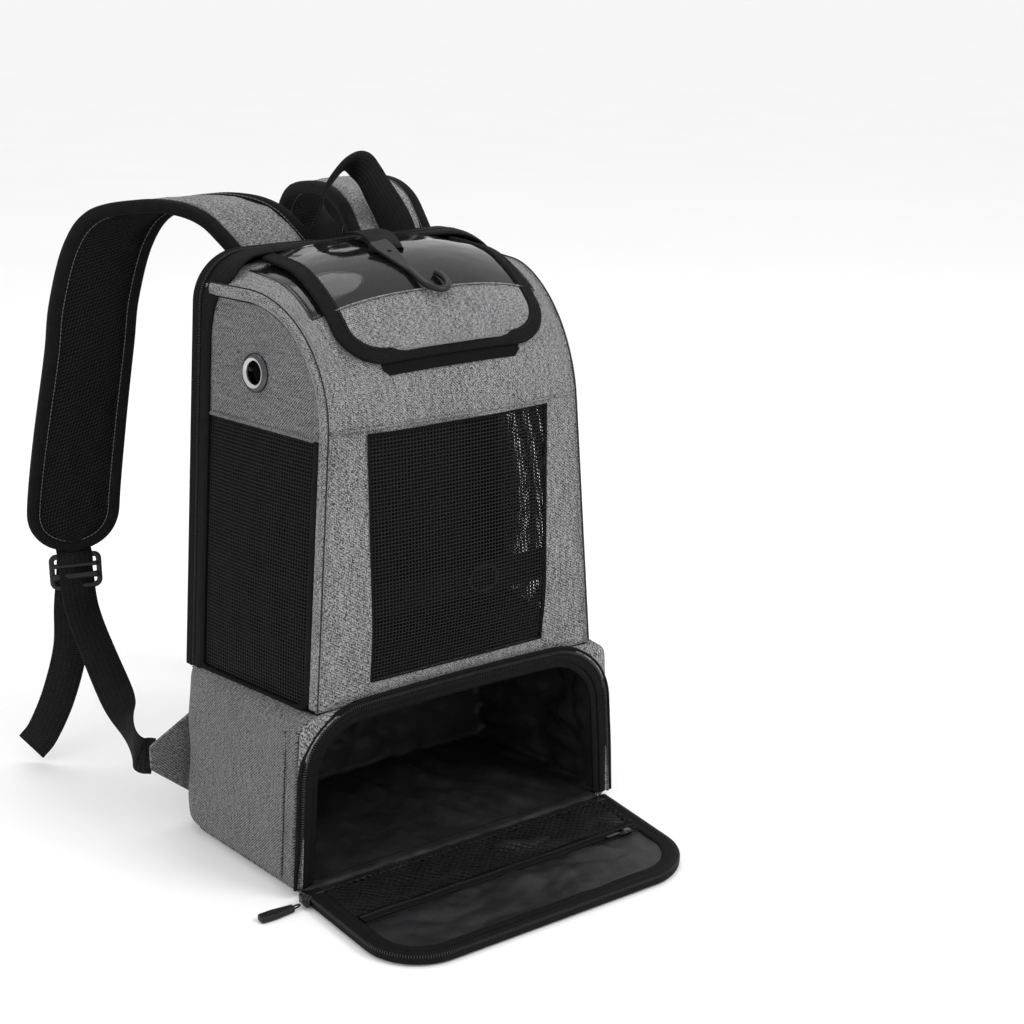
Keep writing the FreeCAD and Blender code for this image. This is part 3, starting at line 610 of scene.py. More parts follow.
class Paint:
    """A material under construction."""

    def __init__(self, name):
        self.material = bpy.data.materials.new(name)
        self.material.use_nodes = True
        self.tree = self.material.node_tree
        self.shader = self.tree.nodes["Principled BSDF"]

    def add(self, kind, settings=None, inputs=None):
        node = self.tree.nodes.new(kind)
        for key, value in (settings or {}).items():
            setattr(node, key, value)
        for key, value in (inputs or {}).items():
            self.feed(node.inputs[key], value)
        return node

    def feed(self, socket, value):
        if isinstance(value, Term):
            value = value.socket
        if isinstance(value, bpy.types.NodeSocket):
            self.tree.links.new(value, socket)
        else:
            socket.default_value = value

    def cloth(self):
        """The weave's own coordinates, in metres along the cloth."""
        return self.add("ShaderNodeUVMap", {"uv_map": "Cloth"}).outputs[0]

    def place(self):
        return self.add("ShaderNodeTexCoord").outputs["Object"]

    def noise(self, where, scale, detail=2.0, rough=0.5):
        """Noise whose scale may differ along each direction, per metre."""
        if not hasattr(scale, "__len__"):
            scale = (scale, scale, scale)
        spread = self.add("ShaderNodeMapping", {}, {"Vector": where, "Scale": scale})
        node = self.add("ShaderNodeTexNoise", {}, {"Vector": spread.outputs[0], "Scale": 1.0,
                                                   "Detail": detail, "Roughness": rough})
        return Term(self, node.outputs[0])

    def split(self, where):
        node = self.add("ShaderNodeSeparateXYZ", {}, {0: where})
        return [Term(self, socket) for socket in node.outputs]

    def blend(self, factor, low, high):
        node = self.add("ShaderNodeMix", {"data_type": "RGBA"},
                        {"Factor": factor, 6: (*low, 1.0), 7: (*high, 1.0)})
        return node.outputs[2]

    def vary(self, factor, tone, low, high):
        """A tone that goes from low to high times itself."""
        return self.blend(factor, tint(tone, low), tint(tone, high))

    def bump(self, height, strength, distance):
        node = self.add("ShaderNodeBump", {}, {"Height": height, "Strength": strength,
                                               "Distance": distance})
        return node.outputs[0]

    def set(self, **values):
        """Values or links for the shader, by socket name with _ for a space."""
        for key, value in values.items():
            self.feed(self.shader.inputs[key.replace("_", " ")], value)
        return self.material


def heather(name, dark, light, twill=0.25):
    """Two-tone woven cloth: uneven yarns both ways and a fine diagonal."""
    p = Paint(name)
    cloth = p.cloth()
    warp = p.noise(cloth, (330, 1500, 1), 2.0, 0.6)
    weft = p.noise(cloth, (1500, 330, 1), 2.0, 0.6)
    grain = p.noise(cloth, 1500, 1.0)
    u, v, _ = p.split(cloth)
    diagonal = ((u + v) * 2700.0).sine()
    yarns = (u * 6200.0).sine() * (v * 6200.0).sine()
    slub = p.noise(cloth, (40, 420, 1), 2.0)
    cloud = p.noise(p.place(), 14, 2.0)
    tone = ((warp + weft + grain - 1.5) * 2.5 + diagonal * twill + yarns * 0.14
            + (slub - 0.5) * 0.8 + (cloud - 0.5) * 0.25 + 0.48)
    tone = tone.clamp()
    relief = tone + ((u - v) * 2700.0).sine() * 0.3
    return p.set(Base_Color=p.blend(tone, dark, light), Roughness=0.92, Sheen_Weight=0.08,
                 Specular_IOR_Level=0.2, Normal=p.bump(relief, 0.55, 0.0005))


def nylon(name, tone, crease=0.6):
    """Plain black lining with soft creases; its colour lightens and darkens with the same fold noise that
    raises the creases, painted highlight and shade on them.
    """
    p = Paint(name)
    where = p.place()
    fold = p.noise(where, (38, 38, 24), 3.0)
    u, v, _ = p.split(p.cloth())
    weave = (u * 5200.0).sine() * (v * 5200.0).sine()
    # Painted shade and highlight: the colour follows the fold noise that also makes the crease bump,
    # darker in the hollows and lighter on the ridges.
    colour = p.vary((fold * 1.4 - 0.2).clamp(), tone, 0.7, 1.5)
    return p.set(Base_Color=colour, Roughness=0.50 + (fold - 0.5) * 0.3, Specular_IOR_Level=0.25,
                 Normal=p.bump(fold * crease + weave * 0.012, 0.6, 0.006))


def ribbed(name, tone, pitch, rough=0.72, depth=0.0004):
    """Tape or webbing with fine ribs; its colour is darker in the grooves between ribs and lighter on
    their crests, painted shade, and varies at random with wear.
    """
    p = Paint(name)
    u, v, _ = p.split(p.cloth())
    turn = 2 * math.pi / pitch
    rib = (u * turn).sine() + (v * turn * 0.5).sine() * 0.5
    wear = p.noise(p.place(), 130, 3.0)
    # Painted shade: the rib term darkens the grooves that the bump sinks; the wear noise adds random tone.
    mask = (rib * 0.3 + wear * 0.9 - 0.1).clamp()
    colour = p.vary(mask, tone, 0.55, 1.6)
    return p.set(Base_Color=colour, Roughness=rough, Specular_IOR_Level=0.12,
                 Normal=p.bump(rib, 0.6, depth))


def air_mesh(name, tone):
    """Spacer mesh: small staggered holes in slanting rows, coloured dark as painted shade in the holes and
    lighter on the strands between them.
    """
    p = Paint(name)
    u, v, _ = p.split(p.cloth())
    turn = 2 * math.pi
    holes = ((u * 0.8 + v) * (turn / 0.0042)).sine() * ((u * 0.8 - v) * (turn / 0.0066)).sine()
    strands = (v * (turn / 0.0016)).sine()
    # Painted shade: the holes that the bump sinks are coloured near black, and the strands between them
    # lighter.
    mask = (holes * 0.9 + strands * 0.2 + 0.45).clamp()
    colour = p.vary(mask, tone, 0.12, 1.5)
    return p.set(Base_Color=colour, Roughness=0.8, Specular_IOR_Level=0.12,
                 Normal=p.bump(mask, 1.0, 0.0012))


def strand_paint(name, tone):
    """Coated yarn of the ventilation net."""
    p = Paint(name)
    mottle = p.noise(p.place(), 420, 2.0)
    colour = p.vary(mottle, tone, 0.5, 1.7)
    return p.set(Base_Color=colour, Roughness=0.45 + mottle * 0.25, Specular_IOR_Level=0.22)


def moulded(name, tone, rough, grain=900, relief=0.15):
    """Moulded plastic or rubber with a fine grain."""
    p = Paint(name)
    fine = p.noise(p.place(), grain, 2.0)
    worn = p.noise(p.place(), 60, 3.0)
    colour = p.vary(worn, tone, 0.7, 1.4)
    return p.set(Base_Color=colour, Roughness=(worn - 0.5) * 0.25 + rough,
                 Specular_IOR_Level=0.3, Normal=p.bump(fine, relief, 0.0003))


def metal(name, tone, rough):
    p = Paint(name)
    streak = p.noise(p.place(), (500, 500, 90), 3.0)
    return p.set(Base_Color=p.vary(streak, tone, 0.8, 1.0), Metallic=1.0,
                 Roughness=(streak - 0.5) * 0.15 + rough)


def film_paint(name, tone, clear):
    """Clear film, glossy and a little wavy; its near-black tone and part opacity paint the shade inside
    the bag seen through it.
    """
    p = Paint(name)
    wave = p.noise(p.place(), (16, 26, 26), 2.0)
    haze = p.noise(p.place(), 70, 3.0)
    # Painted shade: the near-black tone and an alpha below one darken the film to stand in for the dark
    # inside of the bag behind it.
    return p.set(Base_Color=(*tone, 1.0), Roughness=(haze - 0.4) * 0.12 + 0.05,
                 Alpha=1.0 - clear, Coat_Weight=0.3, Specular_IOR_Level=0.35,
                 Normal=p.bump(wave, 0.25, 0.01))


def pile(name, tone):
    """Loop side of touch fastener; its colour darkens where the loops' bump is low, painted shade between
    the loops.
    """
    p = Paint(name)
    loops = p.noise(p.cloth(), 1100, 2.0)
    # Painted shade: the same noise sets the loops' height and their colour, darker where they are low.
    return p.set(Base_Color=p.vary(loops, tone, 0.4, 1.6),
                 Roughness=0.95, Specular_IOR_Level=0.08, Normal=p.bump(loops, 1.0, 0.001))


PAINTS = {}


def make_paints(s):
    black = tuple(s.black_tone)
    dark, light = tuple(s.heather_dark), tuple(s.heather_light)
    PAINTS.update(
        heather=heather("Heather cloth", dark, light, 0.2),
        # Twill cloth for the side walls, base, seams and tabs: a darker copy of the heather, partly the
        # cloth's own darker twill and partly painted shade for walls turned away from the key light.
        heather_side=heather("Heather cloth twill, darker with painted shade", tint(dark, 0.71),
                             tint(light, 0.71), 0.42),
        strap_cloth=heather("Strap cloth", dark, light, 0.2),
        lining=nylon("Black lining", tint(black, 2.1)),
        inside=nylon("Inner face", tint(black, 0.7), 0.3),
        panel=nylon("Back panel cloth", black, 0.3),
        tape=ribbed("Zip tape", tint(black, 0.7), 0.0016),
        binding=ribbed("Binding", tint(black, 1.05), 0.0011, rough=0.85),
        webbing=ribbed("Webbing", tint(black, 1.35), 0.0021, depth=0.0006),
        coil=moulded("Zip coil", tint(black, 5.0), 0.35),
        net=strand_paint("Net yarn", tint(black, 0.9)),
        air=air_mesh("Air mesh", tint(black, 1.6)),
        plastic=moulded("Black plastic", tint(black, 1.1), 0.38),
        rubber=moulded("Rubber pull", tint(black, 0.9), 0.55, 500, 0.3),
        enamel=moulded("Black enamel", tint(black, 0.8), 0.25),
        nickel=metal("Nickel", (0.55, 0.55, 0.56), 0.14),
        # Dark nickel for the eyelet's outer edge, also used as painted shade in its bore.
        gunmetal=metal("Dark nickel and painted shade", (0.085, 0.085, 0.09), 0.24),
        film=film_paint("Clear film", (0.011, 0.011, 0.012), s.film_clear),
        pile=pile("Touch fastener", tint(black, 1.1)),
        thread=moulded("Grey thread", (0.10, 0.10, 0.105), 0.8),
        dark_thread=moulded("Black thread", tint(black, 1.8), 0.8),
    )


# ------------------------------------------------------------------ upper body

def side_point(y, z, out=0.0, side=-1):
    """A point on a side wall of the upper body, moved outwards."""
    y, z, out = np.broadcast_arrays(*(np.asarray(v, float) for v in (y, z, out)))
    x = upper_half(y, z) + out
    return np.stack([side * x, y - 0.16 * out, z], -1)


def pillow(a, b):
    """0 on a panel's edges and 1 in its middle."""
    return np.clip(4 * a * (1 - a), 0, 1) ** 0.5 * np.clip(4 * b * (1 - b), 0, 1) ** 0.5


def build_front():
    half, low, high = WINDOW
    inner = np.linspace(-half, half, 33)
    edge = np.linspace(0, 1, 15)[1:]
    rows = np.concatenate([
        np.linspace(SHELF + 0.0005 - TURN, low - TURN, 5),
        np.linspace(low - TURN, high - TURN, 40)[1:],
        np.linspace(0, ARC, 49)[1:],
        np.linspace(ARC, ARC + 0.047, 14)[1:],
    ])
    film_rows = (0.0995, ARC + 0.030)
    for value in film_rows:
        rows[np.argmin(np.abs(rows - value))] = value
    points = []
    for step in rows:
        free = (np.linspace(-FILM_HALF, FILM_HALF, 33) if film_rows[0] - 1e-6 <= step
                else inner * (1 + smooth(step / film_rows[0]) * (FILM_HALF / half - 1)))
        centre = on_band(free, np.full(33, step))
        ends = []
        for sign in (-1, 1):
            rim = band(sign, step)
            start = centre[0] if sign < 0 else centre[-1]
            x = start[0] + (rim[0] - start[0]) * edge
            ends.append(on_band(x, np.full(len(edge), step)))
        points.append(np.concatenate([ends[0][::-1], centre, ends[1]]))
    points = np.array(points)
    points[..., 1] += ripple(points, 0.06, 0.0006, 3)
    keep = np.ones((len(rows) - 1, points.shape[1] - 1), bool)
    mid = (rows[1:] + rows[:-1]) / 2
    span = slice(len(edge), len(edge) + 32)
    keep[(mid > low - TURN) & (mid < high - TURN), span] = False
    keep[(mid > film_rows[0]) & (mid < film_rows[1]), span] = False
    piece = grid("front_band", points, keep, flip=True)
    thicken(piece, CLOTH, inner=PAINTS["inside"], bevel=0.0008)
    dress(piece, "heather", "bag", "grey_fabric", "front_panel")

    # a folded hem frames the net
    z_low, z_high = low - TURN, high - TURN
    xs, ss = np.linspace(-half, half, 30), np.linspace(z_low, z_high, 36)
    frame_line = [on_band(xs, z_low, 0.0002), on_band(half, ss, 0.0002),
                  on_band(xs[::-1], z_high, 0.0002), on_band(-half, ss[::-1], 0.0002)]
    lines = [sweep("hem", part, *side_face(part), oval(0.0022, 0.0011, 8)) for part in frame_line]
    dress(join_all("front_net_hem", lines), "binding", "bag", "black_fabric")


def side_face(path):
    """Directions across a path: a level one and one square to it."""
    run = tangents(path)
    side = np.cross(run, UP)
    weak = np.linalg.norm(side, axis=1) < 0.2
    side[weak] = np.cross(run[weak], (0.0, 1.0, 0.0))
    side = unit(side)
    return side, np.cross(side, run)


def build_sides(s):
    for side, label in SIDES:
        t = np.linspace(0, np.pi / 2, 44)
        ys = np.concatenate([TURN_AT - (TURN_REACH - 0.0002) * np.cos(t),
                             np.linspace(TURN_AT, ZIP_EDGE + 0.004, 18)[1:]])
        rows = np.linspace(0, 1, 40)
        top = seam_height(ys)
        z = NET_TOP + (top - NET_TOP)[None] * rows[:, None]
        y = np.broadcast_to(ys, z.shape)
        swell = pillow(np.linspace(0, 1, len(ys))[None], rows[:, None])
        flat = side_point(y, z, 0.0, side)
        out = swell * 0.0022 + ripple(flat, 0.035, 0.0005, 11) * swell
        points = side_point(y, z, out, side)
        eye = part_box(f"eyelet_{label}")
        centre = (np.array(eye[0]) + np.array(eye[1])) / 2
        mid = (points[1:, 1:] + points[:-1, :-1]) / 2
        keep = np.hypot(mid[..., 1] - centre[1], mid[..., 2] - centre[2]) > 0.0112
        uv = np.stack([y, z], -1)
        piece = grid(f"side_panel_{label}_cloth", points, keep, uv=uv, flip=side > 0)
        thicken(piece, CLOTH, inner=PAINTS["inside"], bevel=0.0006)
        dress(piece, "heather_side", "bag", "grey_fabric", f"side_panel_{label}")
        build_net_side(s, side, label)
        build_seam(side, label)
        build_eyelet(side, label, centre)


def build_seam(side, label):
    """Corded seam along the edge of the front band, with a row of stitches either side."""
    t = np.linspace(0, np.pi / 2, 60)
    reach = TURN_REACH + 0.0005
    y = np.concatenate([np.full(60, TURN_AT - reach), TURN_AT - reach * np.cos(t),
                        np.linspace(0.016, 0.058, 16)])
    z = np.concatenate([np.linspace(SHELF + 0.004, TURN - 0.002, 60), TURN + reach * np.sin(t),
                        np.full(16, TURN + reach)])
    path = resample(side_point(y, z, 0.0, side), 150)
    run = tangents(path)
    out = unit(np.array([side, -0.16, 0.08]))
    inward = np.cross(run, out)
    if inward[10][1] < 0:
        inward = -inward
    face = np.cross(inward, run)
    face *= np.sign((face * out).sum(1, keepdims=True))
    cord = path + inward * 0.0035 + face * 0.0004
    piece = sweep(f"seam_band_{label}", cord, inward, face, oval(0.0088, 0.0060, 14, 0.8))
    dress(piece, "heather", "bag", "grey_fabric", f"piping_{label}")
    lines = [path + inward * 0.0084 + face * 0.0009, path - inward * 0.0013 + face * 0.0009]
    stitches(f"seam_stitches_{label}", lines, "bag", "black_fabric", 0.0027, 0.0025, 0.0005)


def build_net_side(s, side, label):
    """Two layers of net a little apart, their binding and the hem above them."""
    pitch = s.net_pitch
    ys = np.arange(-0.0745, ZIP_EDGE - 0.001, pitch)
    zs = np.arange(SHELF + 0.001, NET_TOP + 0.002, pitch)
    y, z = np.meshgrid(ys, zs)
    a = (y - ys[0]) / (ys[-1] - ys[0])
    b = (z - zs[0]) / (zs[-1] - zs[0])
    points = side_point(y, z, -0.001 + 0.003 * pillow(a, b), side)
    net(grid(f"side_net_{label}", points), s.net_strand, "bag", f"side_mesh_{label}")
    ys, zs = ys[0] + (ys - ys[0]) * 1.13, zs[0] + (zs - zs[0]) * 1.13
    y, z = np.meshgrid(ys[ys < ZIP_EDGE], zs[zs < NET_TOP + 0.002])
    net(grid(f"side_net_{label}_inner", side_point(y, z, -0.0032, side)), s.net_strand, "bag")
    rear, front = ZIP_EDGE - 0.001, -0.0680
    corner = [(rear, NET_TOP), (rear, SHELF - 0.001), (front, SHELF - 0.001), (front, NET_TOP)]
    edge = resample(rounded(corner, [0.010, 0.014]), 180)
    out = (side * 0.98, -0.16, 0.08)
    trim(f"net_binding_{label}", side_point(edge[:, 0], edge[:, 1], 0.0012, side), out,
         oval(0.0064, 0.0026, 10, 0.7), "binding", "bag", "black_fabric")
    top = side_point(np.linspace(rear, -0.0765, 50), NET_TOP, 0.0006, side)
    trim(f"net_top_hem_{label}", top, out, oval(0.0035, 0.0022, 8), "heather_side", "bag",
         "grey_fabric")


def build_net_front(s):
    half, low, high = WINDOW
    pitch = s.net_pitch
    xs = np.arange(-half + 0.0006, half, pitch)
    ss = np.arange(low - TURN + 0.0006, high - TURN, pitch)
    x, t = np.meshgrid(xs, ss)
    net(grid("front_net", on_band(x, t, -0.0014)), s.net_strand, "bag", "front_mesh")
    across_all = np.concatenate([np.linspace(-0.108, -half, 14), np.linspace(-half, half, 60)[1:-1],
                                 np.linspace(half, 0.108, 14)])
    path = on_band(across_all, np.full(len(across_all), high - TURN + 0.0045), 0.0003)
    side, face = side_face(path)
    dress(sweep("front_cross_seam", path, side, face, oval(0.0030, 0.0016, 8)), "heather", "bag",
          "grey_fabric")
    # securing strap and its loop, dimly seen through the net
    low_strap, high_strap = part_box("inner_strap")
    z = (low_strap[2] + high_strap[2]) / 2
    x = np.linspace(low_strap[0] + 0.002, high_strap[0] - 0.002, 60)
    sag = np.cos(x / 0.118 * np.pi / 2) * 0.004
    path = xyz(x, low_strap[1] + 0.001, z - sag)
    dress(ribbon("inside_strap", path, UP, 0.025, 0.0018), "webbing", "bag", "webbing",
          "inner_strap")
    t = np.linspace(0, 2 * np.pi, 40, endpoint=False)
    ring = xyz(0.028 + 0.013 * np.cos(t), low_strap[1] - 0.003, z - 0.002 + 0.010 * np.sin(t))
    loop = ring_sweep("inside_strap_loop", ring, AHEAD, oval(0.004, 0.003, 8))
    dress(loop, "plastic", "bag", "black_plastic")


def build_eyelet(side, label, centre):
    """Nickel eyelet: a rolled flange, a throat and a washer behind."""
    bore, rim = 0.0080, 0.0145
    profile = [(bore, -0.0035), (bore, 0.0010), (bore + 0.0006, 0.0022), (bore + 0.0018, 0.0032),
               (bore + 0.0032, 0.0034), (rim - 0.0022, 0.0030), (rim - 0.0008, 0.0022), (rim, 0.0010),
               (rim, 0.0002), (rim - 0.0006, -0.0002), (bore + 0.0010, -0.0002),
               (bore + 0.0010, -0.0035)]
    out = Vector((side, -LEAN_FRONT, LEAN_UP)).normalized()
    right = Vector((0, 0, 1)).cross(out).normalized()
    up = out.cross(right)
    t = np.linspace(0, 2 * np.pi, 56, endpoint=False)
    points = np.stack([xyz(r * np.cos(t), r * np.sin(t), h) for r, h in profile + profile[:1]])
    piece = grid(f"hose_eyelet_{label}", points, ring=True)
    outward(piece)
    for paint in ("nickel", "gunmetal"):
        piece.data.materials.append(PAINTS[paint])
    # Faces in the bore take the dark nickel as painted shade in the hole; faces on the flange's outer edge
    # take it too, so the eyelet is darker at its rim.
    for face in piece.data.polygons:
        reach = math.hypot(face.center.x, face.center.y)
        face.material_index = 1 if reach > rim - 0.0031 or reach < bore + 0.0004 else 0
    surface = side_point(centre[1], centre[2], 0.0024, side)
    piece.data.transform(basis(right, up, out, surface))
    dress(piece, "nickel", "bag", "nickel", f"eyelet_{label}")


# ------------------------------------------------------------------ main zip

def ring_path(grow, count=260):
    """The inverted U of the main zip as x and height, with its outward directions."""
    low, high = SHELF - 0.004, 0.4595 + grow
    left_low, left_high = -0.1500 - grow, -0.1253 - grow
    path = rounded([(left_low, low), (left_high, high), (-left_high, high), (-left_low, low)],
                   [0.038, 0.038], 0.003)
    path = resample(path, count)
    run = tangents(path)
    return path, np.stack([-run[:, 1], run[:, 0]], -1)


def build_main_zip(s):
    path, out = ring_path(0.0)
    corner = np.array([0.1150, 0.4470])
    away = np.linalg.norm(np.abs(path) - corner, axis=1)
    reach = 0.0560 - 0.0135 * np.exp(-(away / 0.024) ** 2)
    t = np.linspace(0, 1, 9)
    y = reach[:, None] * (1 - t) + 0.0709 * t
    lift = 0.0014 * np.sin(np.clip(t * 1.15, 0, 1) * np.pi) ** 0.5 - 0.17 * np.clip(0.0600 - y, 0, None)
    points = np.stack([path[:, :1] + out[:, :1] * lift, y, path[:, 1:] + out[:, 1:] * lift], -1)
    piece = outward(thicken(grid("main_zip_tape_front", points), 0.0018, offset=0.0))
    dress(piece, "tape", "bag", "zip_tape", "main_zip_shell_tape")
    path, out = ring_path(0.0012)
    line = path + out * 0.0002
    coil("main_zip_coil_front", xyz(line[:, 0], 0.0706, line[:, 1]), s.tooth_pitch, 0.0013, "bag",
         "main_zip_coil")
    section = [(0.0711, -0.0018), (0.0712, -0.0004), (0.0726, 0.0006), (0.0745, 0.0018),
               (0.0775, 0.0016), (0.0812, 0.0022), (0.0832, 0.0014), (0.0834, -0.0008),
               (0.0770, -0.0024), (0.0735, -0.0022)]
    path, out = ring_path(0.0)
    back = np.broadcast_to((0.0, 1.0, 0.0), (len(path), 3))
    tape = sweep("main_zip_tape_back", xyz(path[:, 0], 0.0, path[:, 1]), back,
                 xyz(out[:, 0], 0.0, out[:, 1]), section)
    dress(tape, "tape", "back", "zip_tape", "main_zip_panel_tape")


# ------------------------------------------------------------------ base compartment

def base_ring(z, share, count):
    """Plan outline of the base, from its front left edge round the back to its front right."""
    front = FRONT + 0.001
    def half(y):
        return base_half(y, z) * (1 - share) + upper_half(y, z) * share
    corners = [(-half(front), front), (-half(BACK), BACK), (half(BACK), BACK), (half(front), front)]
    return resample(rounded(corners, [0.0195, 0.0195]), count)


def build_base(s):
    count, rim, shoulder = 220, 0.017, 0.011
    rows = []
    for angle in np.linspace(0, np.pi / 2, 7):
        rows.append((rim * (1 - math.sin(angle)), rim * (1 - math.cos(angle)), 0.0))
    for z in np.linspace(rim, SHELF - shoulder, 34)[1:]:
        rows.append((0.0, z, 0.0))
    for angle in np.linspace(0, np.pi / 2, 8)[1:]:
        rows.append((0.0, SHELF - shoulder + shoulder * math.sin(angle), 1 - math.cos(angle)))
    points = []
    for inset, z, share in rows:
        ring = base_ring(z, share, count)
        run = tangents(ring)
        ring = ring + np.stack([run[:, 1], -run[:, 0]], -1) * inset
        points.append(xyz(ring[:, 0], ring[:, 1], z + 0.0006 * (z < 0.001)))
    points = np.array(points)
    mid = smooth(points[..., 2] / 0.03) * smooth((SHELF - points[..., 2]) / 0.02)
    run = np.gradient(points, axis=1)
    out = np.cross(run, (0.0, 0.0, 1.0))
    out /= np.linalg.norm(out, axis=-1, keepdims=True) + 1e-9
    points -= out * (ripple(points, 0.05, 0.0008, 5) * mid + 0.0012 * mid)[..., None]
    piece = grid("base_wrap", points)
    thicken(piece, 0.0045, inner=PAINTS["lining"])
    dress(piece, "heather_side", "bag", "grey_fabric", "base_side_left", "base_side_right",
          "base_rear_wall", "divider_shelf")
    ring = base_ring(0.0, 0.0, 80)
    centre = ring.mean(0)
    sole = centre + (ring - centre) * 0.955
    piece = prism("base_sole", sole, 0.0004, 0.0045, bevel=0.001)
    dress(piece, "heather_side", "bag", "grey_fabric", "base_floor")
    build_shelf()
    build_base_front(s)
    build_lining()
    build_tabs()


def build_shelf():
    """Upper face of the divider, the floor of the main compartment."""
    def half(y):
        return upper_half(y, SHELF) - 0.003
    near, far = FRONT + 0.0015, 0.0740
    outline = [(-half(near), near), (half(near), near), (half(far), far), (-half(far), far)]
    piece = prism("divider_floor", outline, SHELF - 0.0065, SHELF + 0.0006)
    dress(piece, "lining", "bag", "black_fabric")


def arch_path(inset, count=200):
    """The base zip's inverted U, as x and height."""
    low, high = 0.007, 0.1445 - inset
    wide_low, wide_high = 0.1505 - inset, 0.1415 - inset
    path = rounded([(-wide_low, low), (-wide_high, high), (wide_high, high), (wide_low, low)],
                   [0.056 - inset, 0.056 - inset])
    path = resample(path, count)
    crown = smooth((path[:, 1] - 0.09) / 0.05) * np.clip(1 - (path[:, 0] / 0.12) ** 2, 0, 1)
    path[:, 1] += crown * 0.0025
    return path


def arch_line(inset, y):
    path = arch_path(inset)
    bow = 0.0025 * smooth(path[:, 1] / 0.06)
    return xyz(path[:, 0], y - bow * 0.6, path[:, 1])


def build_base_front(s):
    """Grey front face between the base's edges and the zip, then the zip's tape and coil."""
    inner = arch_line(0.0055, FRONT + 0.0005)
    arch = arch_path(0.0)
    top, shoulder = SHELF - 0.0005, 0.011
    run = tangents(arch)
    spread = arch + np.stack([-run[:, 1], run[:, 0]], -1) * 0.030
    z = np.clip(spread[:, 1], 0.004, top)
    share = 1 - np.sqrt(np.clip(1 - (np.clip(z - SHELF + shoulder, 0, None) / shoulder) ** 2, 0, 1))
    edge = base_half(FRONT, z) * (1 - share) + upper_half(FRONT, SHELF) * share - 0.0015
    outer = xyz(np.clip(spread[:, 0], -edge, edge), FRONT + 0.001, z)
    rows = np.linspace(0, 1, 8)
    points = inner[None] * (1 - rows[:, None, None]) + outer[None] * rows[:, None, None]
    points[..., 1] -= 0.0012 * np.sin(rows * np.pi)[:, None]
    piece = grid("base_front_cloth", points, flip=True)
    thicken(piece, 0.004, offset=0.0, inner=PAINTS["lining"])
    dress(piece, "heather", "bag", "grey_fabric", "base_front_frame")

    trim("base_zip_tape", arch_line(0.0050, FRONT - 0.0006), AHEAD, oval(0.0115, 0.0026, 12, 0.6),
         "tape", "bag", "zip_tape", "base_zip_track")
    coil("base_zip_coil", arch_line(0.0026, FRONT - 0.0019), s.tooth_pitch * COIL_WIDE, 0.0014, "bag")
    trim("base_zip_piping", arch_line(-0.0006, FRONT - 0.0010), AHEAD, oval(0.0026, 0.0030, 10),
         "binding", "bag", "black_fabric")
    trim("base_zip_guard", arch_line(0.0118, FRONT + 0.0010), AHEAD, oval(0.0090, 0.003, 10, 0.7),
         "tape", "bag", "black_fabric")
    for side, label in SIDES:
        z = np.linspace(0.014, SHELF - 0.012, 60)
        y = FRONT + 0.016
        path = xyz(side * (base_half(y, z) + 0.0016), y, z)
        out = np.array([side, 0.0, 0.0])
        trim(f"base_seam_{label}", path, out, oval(0.0045, 0.0022, 10), "heather_side", "bag",
             "grey_fabric")
        stitches(f"base_seam_stitches_{label}", [path + out * 0.0004 + (0.0, -0.0036, 0.0)], "bag",
                 "black_fabric", 0.0030, 0.0024, 0.00035)


def build_lining():
    """The base compartment's lining: a loose tunnel of cloth closed at the back."""
    count, deep = 150, 46
    front = arch_path(0.0135, count)
    half_low, half_high = base_half(0.0, 0.01) - 0.009, base_half(0.0, 0.13) - 0.009
    box_line = resample(rounded([(-half_low, 0.0065), (-half_high, SHELF - 0.0095),
                                 (half_high, SHELF - 0.0095), (half_low, 0.0065)],
                                [0.016, 0.016]), count)

    def loop(line):
        floor = np.linspace(line[-1][0], line[0][0], 62)[1:-1]
        return np.concatenate([line, np.stack([floor, np.full(60, line[0][1])], -1)])

    front_loop, back_loop = loop(front), loop(box_line)
    rows = []
    for t in np.linspace(0, 1, deep):
        mix = smooth(t / 0.35)
        plan = front_loop * (1 - mix) + back_loop * mix
        y = FRONT + 0.0022 + t * (BACK - 0.0095 - FRONT)
        rows.append(xyz(plan[:, 0] * (1 - 0.10 * t), y, plan[:, 1]))
    for t in np.linspace(0, 1, 14)[1:]:
        end = rows[deep - 1]
        rows.append(end * (1 - t) + np.array([0.0, end[0, 1], 0.068]) * t)
    points = np.array(rows)
    inwards = np.array([0.0, -0.01, 0.068]) - points
    inwards[..., 1] *= 0.35
    inwards = unit(inwards)
    slack = smooth(np.linspace(0, 1, len(rows))[:, None] / 0.12)
    fold = np.abs(ripple(points * np.array([1.0, 0.55, 1.0]), 0.038, 0.0055, 8))
    fine = ripple(points, 0.014, 0.0007, 9)
    points += inwards * ((fold + fine) * slack)[..., None]
    points[..., 2] = np.maximum(points[..., 2], 0.0062)
    piece = grid("base_lining_cloth", points, ring=True)
    weld(piece, 0.0004)
    dress(piece, "lining", "bag", "black_fabric", "base_lining")


def build_tabs():
    for side, label in SIDES:
        low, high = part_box(f"corner_tab_{label}")
        y = (low[1] + high[1]) / 2
        sewn, tip = (high[0] + 0.016, low[0]) if side < 0 else (low[0] - 0.016, high[0])
        outline = rounded([(sewn, 0.016), (tip, 0.052), (tip, 0.072), (sewn, 0.096), (sewn, 0.016)],
                          [0.004, 0.004, 0.003])
        place = basis((1, 0, 0), UP, AHEAD, (0, y, 0))
        piece = prism(f"corner_tab_{label}_cloth", outline[:-1], -0.0016, 0.0016, place, 0.0008)
        dress(piece, "heather_side", "bag", "grey_fabric", f"corner_tab_{label}")


# ------------------------------------------------------------------ base door


